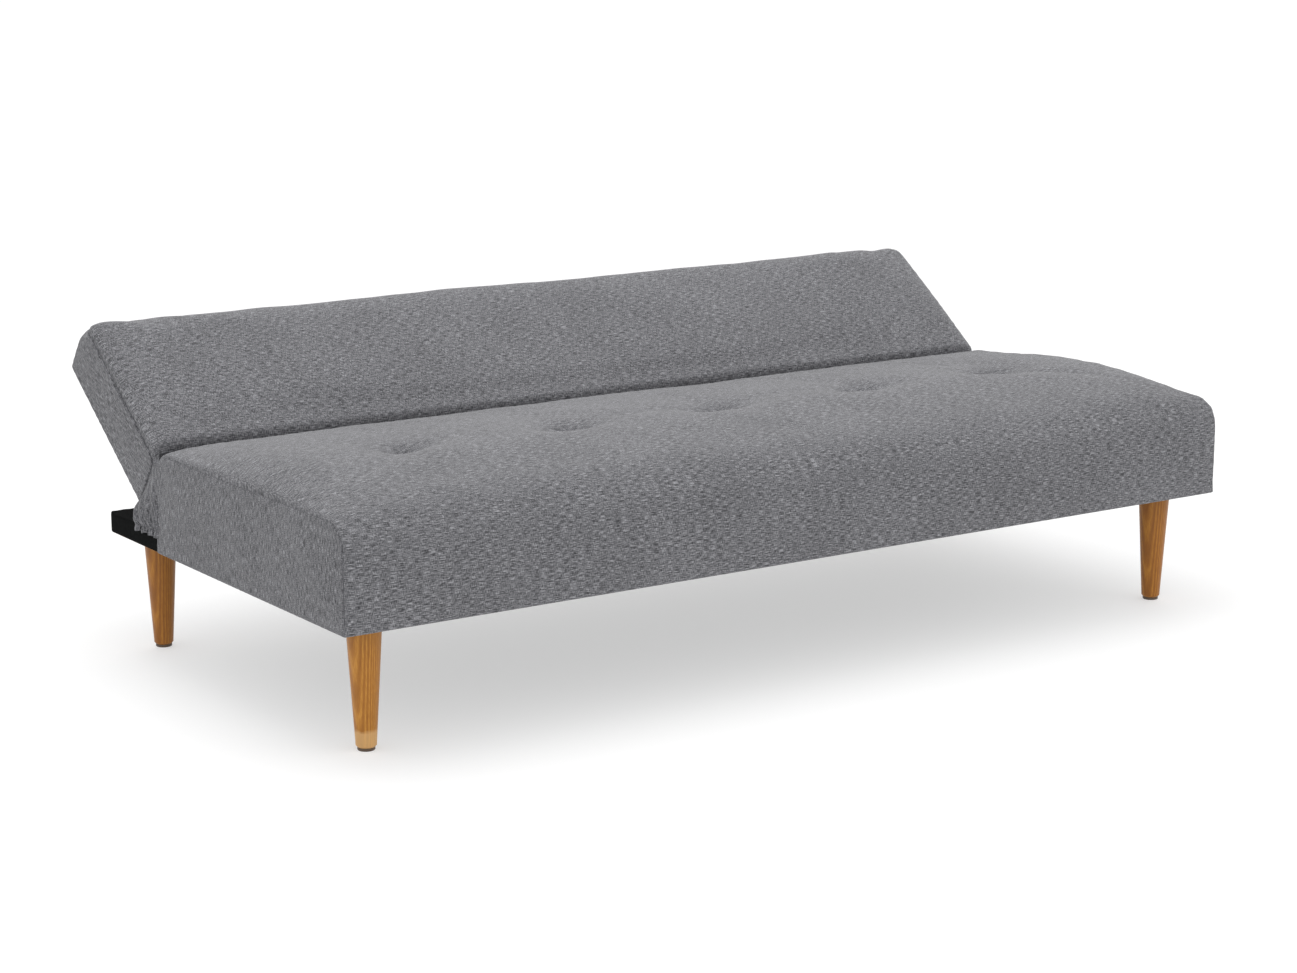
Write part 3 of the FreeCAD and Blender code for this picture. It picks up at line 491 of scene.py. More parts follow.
@dataclass(frozen=True)
class Finish:
    """What every finish has: a name, its slot in the record, roughness and specular level."""

    name: str
    slot: str
    roughness: float = 0.6
    specular: float = 0.5

    def start(self) -> tuple[bpy.types.Material, bpy.types.NodeTree, bpy.types.Node]:
        """A new material, its tree and its shader, with the plain numbers set."""
        material = bpy.data.materials.new(self.name)
        material.use_nodes = True
        tree = material.node_tree
        shader = tree.nodes["Principled BSDF"]
        shader.inputs["Roughness"].default_value = self.roughness
        shader.inputs["Specular IOR Level"].default_value = self.specular
        return material, tree, shader


@dataclass(frozen=True)
class MelangeWeave(Finish):
    """Plain-woven polyester of heather yarn, light and dark fibres spun together.

    The eye gets a grey that breaks into short light and dark dashes along the yarns, a
    soft sheen at grazing angles, and a painted shade line where the cloth turns into a seam.
    The real yarn's spacing isn't known: it is drawn 0.9 mm apart, about as fine as shows.
    """

    roughness: float = 0.93
    specular: float = 0.25
    dark: str = "#343437"
    mid: str = "#606063"
    light: str = "#9f9fa3"
    warp: float = 0.60
    weft: float = 0.40
    dash_length: float = 14 * MM
    dash_width: float = 0.9 * MM
    short: float = 0.45
    relief: float = 0.12 * MM
    sheen: float = 0.18
    drift: float = 0.04
    drift_scale: float = 7.0
    # colour of the painted shade along the seams
    seam: str = "#3c3c40"

    def material(self) -> bpy.types.Material:
        """Dashes along both yarns, slubs, tone drift, thread relief and seam shade."""
        material, tree, shader = self.start()
        place = add(tree, "ShaderNodeUVMap", uv_map="weave").outputs["UV"]
        yarns = []
        for run, length in enumerate((self.dash_length, self.dash_length * self.short)):
            scale = [self.dash_width, self.dash_width, 1.0]
            scale[run] = length
            dashes = mapped(tree, place, scale)
            yarns.append(noise(tree, dashes, 1.0, 2.0, 0.55, "2D"))
        warp = add(tree, "ShaderNodeMath", {1: self.warp}, {0: yarns[0]}, operation="MULTIPLY")
        both = multiply_add(tree, yarns[1], self.weft, warp.outputs[0])
        drift = noise(tree, place, self.drift_scale, 3.0, dimensions="2D")
        toned = multiply_add(tree, drift, self.drift, both)
        stops = [(0.375, self.dark), (0.52, self.mid), (0.665, self.light)]
        # Painted shade: the seam attribute darkens the cloth towards the seam colour along the seams.
        seam = add(tree, "ShaderNodeAttribute", attribute_name="seam").outputs["Fac"]
        shaded = mix(tree, seam, ramp(tree, toned, stops), self.seam)
        tree.links.new(shaded, shader.inputs["Base Color"])
        emboss(tree, shader, both, 0.8, self.relief)
        shader.inputs["Sheen Weight"].default_value = self.sheen
        shader.inputs["Sheen Roughness"].default_value = 0.45
        return material


@dataclass(frozen=True)
class BlackCloth(Finish):
    """Black spun-bonded or plain-woven lining cloth, stapled flat.

    Nearly black and dull, with a faint lattice of threads and a little lint.
    """

    roughness: float = 0.92
    specular: float = 0.05
    dark: str = "#070808"
    light: str = "#161717"
    thread: float = 1.6 * MM

    def material(self) -> bpy.types.Material:
        """Threads as two crossed waves, broken by noise."""
        material, tree, shader = self.start()
        place = add(tree, "ShaderNodeTexCoord").outputs["Object"]
        waves = []
        for direction in ("X", "Y"):
            wave = add(
                tree,
                "ShaderNodeTexWave",
                {"Scale": WAVE / self.thread, "Distortion": 1.5, "Detail": 1.0},
                {"Vector": place},
                bands_direction=direction,
            )
            waves.append(wave.outputs["Fac"])
        lattice = add(tree, "ShaderNodeMath", {}, {0: waves[0], 1: waves[1]}, operation="MULTIPLY")
        lint = noise(tree, place, 160.0, 6.0)
        mixed = multiply_add(tree, lattice.outputs[0], 0.35, lint)
        colour = ramp(tree, mixed, [(0.35, self.dark), (0.95, self.light)])
        tree.links.new(colour, shader.inputs["Base Color"])
        emboss(tree, shader, mixed, 0.6, 0.3 * MM)
        return material


@dataclass(frozen=True)
class TurnedBeech(Finish):
    """Beech turned on a lathe, stained honey brown and sprayed with satin lacquer.

    The cone cuts the growth rings into long upright bands, short dark ray flecks lie
    between them, and the lacquer gives a soft highlight down the leg.
    """

    roughness: float = 0.42
    specular: float = 0.3
    centre: tuple = (0.0, 0.0, 0.0)
    dark: str = "#8a5625"
    mid: str = "#ab7338"
    light: str = "#c58d4f"
    light_foot_colour: str = "#d3ab74"
    ring: float = 3.2 * MM
    fleck: tuple = (1.1 * MM, 1.1 * MM, 17 * MM)
    light_foot_height: float = 0.0

    def material(self) -> bpy.types.Material:
        """Rings about a leaning pith, ray flecks, and a lighter band at the foot when one is set."""
        material, tree, shader = self.start()
        place = add(tree, "ShaderNodeTexCoord").outputs["Object"]
        pith = (self.centre[0] + 46 * MM, self.centre[1] + 22 * MM, 0.0)
        lean = (0.05, -0.035, 0.6)
        grown = mapped(tree, place, (1.0, 1.0, 6.0), Location=pith, Rotation=lean)
        rings = add(
            tree,
            "ShaderNodeTexWave",
            {"Scale": WAVE / self.ring, "Distortion": 3.2, "Detail": 3.0, "Detail Scale": 0.7},
            {"Vector": grown},
            wave_type="RINGS",
            rings_direction="Z",
        )
        flecks = mapped(tree, place, self.fleck, Location=self.centre)
        rays = noise(tree, flecks, 1.0, 4.0, 0.6)
        grain = multiply_add(tree, rings.outputs["Fac"], 0.42, rays)
        shade = ramp(tree, grain, [(0.25, self.dark), (0.75, self.mid), (1.15, self.light)])
        # A lighter band at the foot, with a noisy top edge.
        if self.light_foot_height > 0.0:
            height = add(tree, "ShaderNodeSeparateXYZ", links={0: place})
            patch = noise(tree, place, 90.0, 3.0)
            edge = multiply_add(tree, patch, 9 * MM, height.outputs[2])
            ends = {1: self.light_foot_height + 6 * MM, 2: self.light_foot_height, 3: 0.0, 4: 0.62}
            light_foot_band = add(tree, "ShaderNodeMapRange", ends, {0: edge})
            shade = mix(tree, light_foot_band.outputs[0], shade, self.light_foot_colour)
        tree.links.new(shade, shader.inputs["Base Color"])
        emboss(tree, shader, grain, 0.25, 0.15 * MM)
        shader.inputs["Coat Weight"].default_value = 0.12
        shader.inputs["Coat Roughness"].default_value = 0.3
        return material


@dataclass(frozen=True)
class Grained(Finish):
    """Anything with a plain noise grain: sawn pine, foam, felt, plastic or steel.

    Two tones are mixed by noise stretched to the grain's own size, which also roughens
    the surface.
    """

    dark: str = "#808080"
    light: str = "#a0a0a0"
    grain: tuple = (1 * MM, 1 * MM, 1 * MM)
    relief: float = 0.1 * MM
    metallic: float = 0.0

    def material(self) -> bpy.types.Material:
        """Stretched noise for tone and relief."""
        material, tree, shader = self.start()
        place = add(tree, "ShaderNodeTexCoord").outputs["Object"]
        tone = noise(tree, mapped(tree, place, self.grain), 1.0, 5.0, 0.6)
        colour = ramp(tree, tone, [(0.3, self.dark), (0.7, self.light)])
        tree.links.new(colour, shader.inputs["Base Color"])
        emboss(tree, shader, tone, 0.5, self.relief)
        shader.inputs["Metallic"].default_value = self.metallic
        return material


FABRIC_SEAT = MelangeWeave("melange_seat", "melange_cloth")
# The same melange cloth in darker tones: painted shade for the end panels, gussets, rear skirt, back
# lining and unslotted nodes, where less light falls.
FABRIC_SHADED = MelangeWeave(
    "melange_shaded", "melange_cloth", dark="#2c2c2f", mid="#59595c", light="#98989c"
)
FABRIC_BACK = MelangeWeave("melange_back", "melange_cloth", warp=0.52, weft=0.48)
LINING = BlackCloth("black_lining", "black_cloth")
DUST_CLOTH = BlackCloth("dust_cloth", "dust_cloth", dark="#101112", light="#1d1f20", thread=2.2 * MM)
PINE = Grained(
    "sawn_pine", "frame_wood", 0.75, dark="#b98d57", light="#dcb981", grain=(60 * MM, 4 * MM, 4 * MM)
)
FOAM = Grained("cut_foam", "foam", 0.95, dark="#d9cf9c", light="#efe6ba", grain=(2 * MM,) * 3)
FELT = Grained("pressed_felt", "felt", 0.97, dark="#5d5a55", light="#85807a", grain=(3 * MM,) * 3)
WEBBING = Grained(
    "elastic_webbing", "webbing", 0.85, dark="#262422", light="#5f5a52", grain=(2 * MM,) * 3
)
TWINE = Grained("tuft_twine", "twine", 0.8, dark="#6a6a6e", light="#8d8d92", grain=(1 * MM,) * 3)
GLIDE = Grained(
    "moulded_nylon", "glide_plastic", 0.45, dark="#46372a", light="#5a4736", grain=(0.5 * MM,) * 3
)
SPRING = Grained(
    "oiled_wire", "spring_steel", 0.38, dark="#3f4246", light="#5d6167",
    grain=(2 * MM,) * 3, metallic=1.0,
)
HINGE = Grained(
    "pressed_steel", "hinge_steel", 0.42, dark="#4b4e53", light="#6b6f75",
    grain=(3 * MM,) * 3, metallic=1.0,
)
ZINC = Grained(
    "zinc_plate", "zinc_steel", 0.33, dark="#9aa0a3", light="#c3c8cb",
    grain=(4 * MM,) * 3, metallic=1.0,
)
FINISHES = {
    finish.slot: finish
    for finish in (LINING, DUST_CLOTH, PINE, FOAM, FELT, WEBBING, TWINE, GLIDE, SPRING, HINGE, ZINC)
}
MADE: dict[str, bpy.types.Material] = {}


def dress(piece: bpy.types.Object, *finishes: Finish) -> None:
    """Give a piece its finishes, one to each material place, making each material once."""
    piece.data.materials.clear()
    for finish in finishes:
        if finish.name not in MADE:
            MADE[finish.name] = finish.material()
        piece.data.materials.append(MADE[finish.name])


def report(piece: bpy.types.Object) -> None:
    """Log a piece's name and face count."""
    LOG.info("%s: %d faces", piece.name, len(piece.data.polygons))


# ---------------------------------------------------------------------------- sofa


@dataclass
class Seat:
    """The seat cushion: a waterfall panel over top and front, a side panel at each end."""

    sink: float = 12 * MM
    crown: float = 41 * MM
    crown_reach: float = 95 * MM
    fall: float = 0.72
    front_round: float = 46 * MM
    rear_round: float = 50 * MM
    front_bulge: float = 8 * MM
    side_bulge: float = 3 * MM
    edge_round: float = 4 * MM
    hem_fold: float = 1.2 * MM
    give: float = 0.28
    cell: float = 8 * MM
    tuft_depth: float = 20 * MM
    tuft_width: float = 36 * MM
    hollow_depth: float = 5 * MM
    hollow_width: float = 90 * MM
    crease: float = 1.2 * MM
    seam_shade: float = 0.22
    low: np.ndarray = field(default_factory=lambda: np.array(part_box("seat_cover")[0]))
    high: np.ndarray = field(default_factory=lambda: np.array(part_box("seat_cover")[1]))

    def tufts(self) -> list[tuple[float, float]]:
        """Where the five tuft cords come up: the middle of each cord's own points."""
        mesh = frame["nodes"]["tuft_cords"].data
        points = np.array([v.co[:2] for v in mesh.vertices])
        places = np.unique(np.round(points[:, 0] / 0.05).astype(int))
        return [tuple(points[np.round(points[:, 0] / 0.05) == p].mean(axis=0)) for p in places]

    def cushion(self) -> bpy.types.Object:
        """The cover with its filling: formulas, a share of the blowing up, then the tufts.

        Returns:
            The finished cushion.
        """
        low, high = self.low.copy(), self.high.copy()
        high[2] -= self.sink
        places = (graded(first, last, self.cell) for first, last in zip(low, high))
        flat, quads, sides = box_lattice(*places)
        x, y, z = flat.T
        from_end = high[0] - np.abs(x)
        from_rim = np.min(np.stack((y - low[1], high[1] - y, z - low[2], high[2] - z)), axis=0)
        seam = from_end + from_rim
        points = soften_edges(flat, low, high, self.edge_round)
        hem = bell(z - low[2], 12 * MM)
        points[:, 0] += np.sign(x) * self.hem_fold * hem * bell(from_end, 6 * MM)
        points[:, 1] -= self.hem_fold * hem * bell(y - low[1], 6 * MM)
        round_corner(points, 1, 2, (low[1], -1, high[2], 1), self.front_round)
        round_corner(points, 1, 2, (high[1], 1, high[2], 1), self.rear_round)
        weave = self.weave(flat, quads, sides)
        cloth = Cloth(points, quads, weave)

        depth = high[1] - low[1]
        across = swell(from_end, self.crown_reach)
        run = (y - low[1]) / depth
        along = smooth(-0.05, 0.42, run) ** 0.8 * (1.0 - self.fall * smooth(0.42, 1.05, run))
        topness = smooth(low[2] + 0.35 * (high[2] - low[2]), high[2], z)
        points[:, 2] += self.crown * across * along * topness
        middle = np.sin(np.pi * np.clip((z - low[2]) / (high[2] - low[2]), 0, 1)) ** 0.8
        front = smooth(0.10, 0.0, run)
        points[:, 1] -= self.front_bulge * swell(from_end, 0.14) * middle * front
        panel = middle * np.sin(np.pi * run) ** 0.5
        points[:, 0] += np.sign(x) * self.side_bulge * panel * bell(from_end, 0.004)

        points += self.blown(cloth, flat, seam)
        self.draw_down(cloth, flat, topness)
        self.wrinkle(cloth, flat, seam, from_end, topness)
        cloth.seam = self.seam_shade * bell(seam, 1.3 * MM) * smooth(low[2], low[2] + 0.01, z)
        piece = cloth.build("seat_cushion")
        dress(piece, FABRIC_SEAT, FABRIC_SHADED)
        piece.data.polygons.foreach_set("material_index", at_end(sides).astype(np.int32))
        return piece

    def weave(self, flat: np.ndarray, quads: np.ndarray, sides: np.ndarray) -> np.ndarray:
        """Cloth coordinates of each quad's corners.

        The waterfall panel runs its warp along X and its length round the section, and a
        side panel runs its warp upright.

        Args:
            flat: the lattice's points before they are shaped.
            quads: its quads.
            sides: the Side number of each quad.

        Returns:
            Two coordinates for each corner of each quad.
        """
        corners = flat[quads]
        over = corners[..., 1] + self.high[2] - corners[..., 2]
        wrap = np.stack((corners[..., 0], over), axis=-1)
        upright = np.stack((corners[..., 2], corners[..., 1] + 3.0 + corners[..., 0]), axis=-1)
        return np.where(at_end(sides)[:, None, None], upright, wrap).reshape(-1, 2)

    def blown(self, cloth: Cloth, flat: np.ndarray, seam: np.ndarray) -> np.ndarray:
        """The share, give, of how far the blown up cover goes, held by seams, tufts and frame.

        Args:
            cloth: the cover.
            flat: its points before they are shaped.
            seam: each point's distance from the end seams.

        Returns:
            How far to move each point.
        """
        x, y, z = flat.T
        held = bell(seam, 9 * MM)
        held = np.maximum(held, 1.0 - smooth(self.low[2] + 0.004, self.low[2] + 0.03, z))
        held = np.maximum(held, smooth(self.high[1] - 0.05, self.high[1] - 0.005, y))
        for tuft_x, tuft_y in self.tufts():
            away = np.hypot(x - tuft_x, y - tuft_y)
            held = np.maximum(held, bell(away, 12 * MM) * (z > self.low[2] + 0.1))
        return Blowing().blow(cloth, np.clip(held, 0.0, 1.0)) * self.give

    def draw_down(self, cloth: Cloth, flat: np.ndarray, topness: np.ndarray) -> None:
        """Sink the tufts: a bell in a wide shallow hollow, with creases that run out of it.

        The creases are ridges over the angle round the tuft, cos(n a + phase), which fade
        in past the dimple's middle and out again with distance.

        Args:
            cloth: the cover, changed in place.
            flat: its points before they are shaped.
            topness: 1 on the seat's top and 0 well below it.
        """
        x, y, _ = flat.T
        draw = np.random.default_rng(11)
        for tuft_x, tuft_y in self.tufts():
            dx, dy = x - tuft_x, (y - tuft_y) * 1.5
            away = np.hypot(dx, dy)
            angle = np.arctan2(dy, dx)
            sink = self.tuft_depth * np.exp(-((away / self.tuft_width) ** 1.5))
            sink += self.hollow_depth * bell(away, self.hollow_width)
            phase = draw.uniform(0.0, math.tau, 3)
            folds = np.cos(5 * angle + phase[0]) + 0.7 * np.cos(7 * angle + phase[1])
            folds += 0.6 * np.cos(3 * angle + phase[2])
            reach = smooth(6 * MM, 24 * MM, away) * np.exp(-((away / (58 * MM)) ** 2))
            cloth.points[:, 2] -= (sink - self.crease * folds * reach) * topness

    def wrinkle(
        self,
        cloth: Cloth,
        flat: np.ndarray,
        seam: np.ndarray,
        from_end: np.ndarray,
        topness: np.ndarray,
    ) -> None:
        """Foam unevenness, slanting drags by the side seams, puckers, and the seams' grooves.

        Args:
            cloth: the cover, changed in place.
            flat: its points before they are shaped.
            seam: each point's distance from the end seams.
            from_end: each point's distance from the nearer end.
            topness: 1 on the seat's top and 0 well below it.
        """
        x, y, z = flat.T
        out = cloth.normals()
        over = y + self.high[2] - z
        height = 1.5 * MM * uneven(x, over, 0.34, 5) + 0.7 * MM * uneven(x, over, 0.11, 6)
        height *= smooth(0.0, 0.05, seam) * smooth(self.low[2], self.low[2] + 0.04, z)
        slant = np.sin(math.tau * (from_end * 0.8 + (y - self.low[1]) * 0.9) / 0.052)
        near_side = smooth(6 * MM, 30 * MM, from_end) * bell(from_end, 0.14)
        height += 0.9 * MM * slant * near_side * topness * (0.5 + 0.5 * uneven(x, y, 0.2, 7))
        pucker = np.sin(math.tau * over / 0.021 + 2.0 * uneven(over, z, 0.08, 8))
        height += 0.35 * MM * pucker * np.exp(-seam / 0.012) * smooth(0.0, 3 * MM, seam)
        stitched = smooth(self.low[2] + 4 * MM, self.low[2] + 16 * MM, z)
        height += stitched * 0.6 * MM * bell(seam - 4.5 * MM, 3.0 * MM)
        height -= stitched * 0.8 * MM * bell(seam, 1.8 * MM)
        cloth.points += out * height[:, None]

    def assemble(self) -> None:
        """Build, dress and seat the cushion."""
        piece = self.cushion()
        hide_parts("seat_cover", "seat_foam", "spring_felt", "tuft_cords")
        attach(piece, "stand")
        report(piece)


@dataclass
class Back:
    """The back cushion, worked out in its own frame: t up the back, n out of its face."""

    slope: float = math.radians(36.0)
    wrap: float = 24 * MM
    wrap_reach: float = 42 * MM
    crown: float = 3.5 * MM
    upper_round: float = 34 * MM
    lower_round: float = 24 * MM
    end_round: float = 34 * MM
    board_round: float = 0.2
    rear_round: float = 10 * MM
    edge_round: float = 6 * MM
    cell: float = 8 * MM
    panel_gap: float = 0.8 * MM
    top_bulge: float = 9.5 * MM
    give: float = 0.35
    seam_shade: float = 0.3
    lining_inset: tuple = (15 * MM, 14 * MM, 0.0)
    lining_thick: float = 3 * MM
    low: np.ndarray = field(init=False)
    high: np.ndarray = field(init=False)
    pivot: np.ndarray = field(init=False)

    def __post_init__(self) -> None:
        """Find the hinge axis and the cover's extent in the back's own frame."""
        pin_low, pin_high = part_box("pivot_pin_left")
        self.pivot = np.array((0.0, (pin_low.y + pin_high.y) / 2, (pin_low.z + pin_high.z) / 2))
        mesh = frame["nodes"]["back_cover"].data
        points = self.inside(np.array([v.co[:] for v in mesh.vertices]))
        self.low, self.high = points.min(axis=0), points.max(axis=0)

    def inside(self, points: np.ndarray) -> np.ndarray:
        """World points as (x, t, n): turned by the slope about the hinge axis."""
        away = points - self.pivot
        t = away[:, 1] * math.cos(self.slope) + away[:, 2] * math.sin(self.slope)
        n = away[:, 2] * math.cos(self.slope) - away[:, 1] * math.sin(self.slope)
        return np.stack((points[:, 0], t, n), axis=1)

    def outside(self, points: np.ndarray) -> np.ndarray:
        """(x, t, n) points back in the world."""
        _, t, n = points.T
        y = self.pivot[1] + t * math.cos(self.slope) - n * math.sin(self.slope)
        z = self.pivot[2] + t * math.sin(self.slope) + n * math.cos(self.slope)
        return np.stack((points[:, 0], y, z), axis=1)

    def heel(self) -> np.ndarray:
        """The lower rear edge of the cover, in the world."""
        return self.outside(np.array([[0.0, self.low[1], self.low[2]]]))[0]

    def cushion(self) -> bpy.types.Object:
        """The back's cover with its filling: formulas, then a share of the blowing up.

        Returns:
            The finished cushion.
        """
        low, high = self.low.copy(), self.high.copy()
        low[2] += self.panel_gap
        high[2] -= self.wrap
        places = (graded(first, last, self.cell) for first, last in zip(low, high))
        flat, quads, sides = box_lattice(*places)
        x, t, n = flat.T
        from_end = high[0] - np.abs(x)
        from_rim = np.min(np.stack((t - low[1], high[1] - t, n - low[2], high[2] - n)), axis=0)
        seam = from_end + from_rim
        points = soften_edges(flat, low, high, self.edge_round)
        square = points.copy()
        for sign in (-1, 1):
            round_corner(points, 0, 1, (sign * high[0], sign, high[1], 1), self.end_round)
        board = smooth(low[2] + 0.5 * (high[2] - low[2]), high[2], n)[:, None]
        points += (square - points) * (1.0 - self.board_round) * (1.0 - board)
        round_corner(points, 1, 2, (high[1], 1, high[2], 1), self.upper_round)
        round_corner(points, 1, 2, (low[1], -1, high[2], 1), self.lower_round)
        round_corner(points, 1, 2, (high[1], 1, low[2], -1), self.rear_round)
        weave = self.weave(flat, quads, sides)

        across = swell(from_end, self.wrap_reach)
        up = swell(t - low[1], 30 * MM) * swell(high[1] - t, 60 * MM)
        frontness = smooth(low[2] + 0.45 * (high[2] - low[2]), high[2], n)
        points[:, 2] += self.wrap * across * up * frontness
        rise = np.sin(np.pi * (t - low[1]) / (high[1] - low[1]))
        points[:, 2] += self.crown * across * rise**2 * frontness
        topness = smooth(high[1] - 0.06, high[1], t)
        points[:, 1] += self.top_bulge * swell(from_end, 0.20) * topness
        points[:, 1] += 1.6 * MM * uneven(x, x * 0.0, 0.42, 21) * topness
        cloth = Cloth(self.outside(points), quads, weave)

        cloth.points += self.blown(cloth, flat, seam)
        out = cloth.normals()
        soft = smooth(0.0, 0.05, seam) * frontness
        height = (1.6 * MM * uneven(x, t, 0.36, 22) + 0.6 * MM * uneven(x, t, 0.12, 23)) * soft
        pucker = np.sin(math.tau * (t + n) / 0.023 + 2.0 * uneven(t, n, 0.08, 24))
        height += 0.45 * MM * pucker * np.exp(-seam / 0.012) * smooth(0.0, 3 * MM, seam)
        height += 0.5 * MM * bell(seam - 4.5 * MM, 3.0 * MM) - 1.0 * MM * bell(seam, 1.8 * MM)
        cloth.points += out * height[:, None]
        cloth.seam = self.seam_shade * bell(seam, 1.3 * MM)
        piece = cloth.build("back_cushion")
        dress(piece, FABRIC_BACK, FABRIC_SHADED)
        piece.data.polygons.foreach_set("material_index", at_end(sides).astype(np.int32))
        return piece

    def weave(self, flat: np.ndarray, quads: np.ndarray, sides: np.ndarray) -> np.ndarray:
        """Cloth coordinates: along X and round the section, and up the slope on the ends.

        Args:
            flat: the lattice's points before they are shaped, in the back's frame.
            quads: its quads.
            sides: the Side number of each quad.

        Returns:
            Two coordinates for each corner of each quad.
        """
        corners = flat[quads]
        over = corners[..., 1] - corners[..., 2]
        wrap = np.stack((corners[..., 0], over), axis=-1)
        end = np.stack((corners[..., 1], corners[..., 2] + 5.0 + corners[..., 0]), axis=-1)
        return np.where(at_end(sides)[:, None, None], end, wrap).reshape(-1, 2)

    def blown(self, cloth: Cloth, flat: np.ndarray, seam: np.ndarray) -> np.ndarray:
        """The share, give, of how far the blown up cover goes, held by seams, hinges and panel.

        Args:
            cloth: the cover.
            flat: its points before they are shaped, in the back's frame.
            seam: each point's distance from the end seams.

        Returns:
            How far to move each point.
        """
        _, t, n = flat.T
        held = bell(seam, 9 * MM)
        held = np.maximum(held, smooth(self.low[1] + 0.07, self.low[1] + 0.01, t))
        held = np.maximum(held, 1.0 - smooth(self.low[2] + 0.012, self.low[2] + 0.05, n))
        return Blowing(cap=0.018).blow(cloth, np.clip(held, 0.0, 1.0)) * self.give

    def panel(self) -> bpy.types.Object:
        """The lining behind the back: a slab of cloth that dips a little between the boards."""
        low, high = self.low.copy(), self.high.copy()
        low += self.lining_inset
        high -= self.lining_inset
        high[2] = low[2] + self.lining_thick
        cell = 10 * MM
        xs = graded(low[0], high[0], cell, 8 * MM, 5)
        ts = graded(low[1], high[1], cell, 8 * MM, 5)
        ns = np.linspace(low[2], high[2], 4)
        flat, quads, _ = box_lattice(xs, ts, ns)
        x, t, n = flat.T
        points = soften_edges(flat, low, high, 1.2 * MM)
        for sign in (-1, 1):
            round_corner(points, 0, 1, (sign * high[0], sign, high[1], 1), self.end_round)
        rim = np.minimum(high[0] - np.abs(x), np.minimum(t - low[1], high[1] - t))
        middle = smooth(0.0, 1.0, np.abs(x) / 0.12)
        dip = 1.3 * MM * smooth(0.02, 0.12, rim) * middle + 0.25 * MM * uneven(x, t, 0.09, 31)
        dip *= smooth(0.0, 0.03, rim)
        points[:, 2] += dip * (n < low[2] + 1.5 * MM)
        piece = Cloth(self.outside(points), quads, plan_weave(flat, quads)).build("back_lining")
        dress(piece, FABRIC_SHADED)
        return piece

    def assemble(self) -> None:
        """Build, dress and hang the cushion and its rear lining."""
        piece = self.cushion()
        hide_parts("back_cover", "back_foam")
        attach(piece, "back")
        report(piece)
        lining = self.panel()
        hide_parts("back_panel")
        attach(lining, "back")
        report(lining)


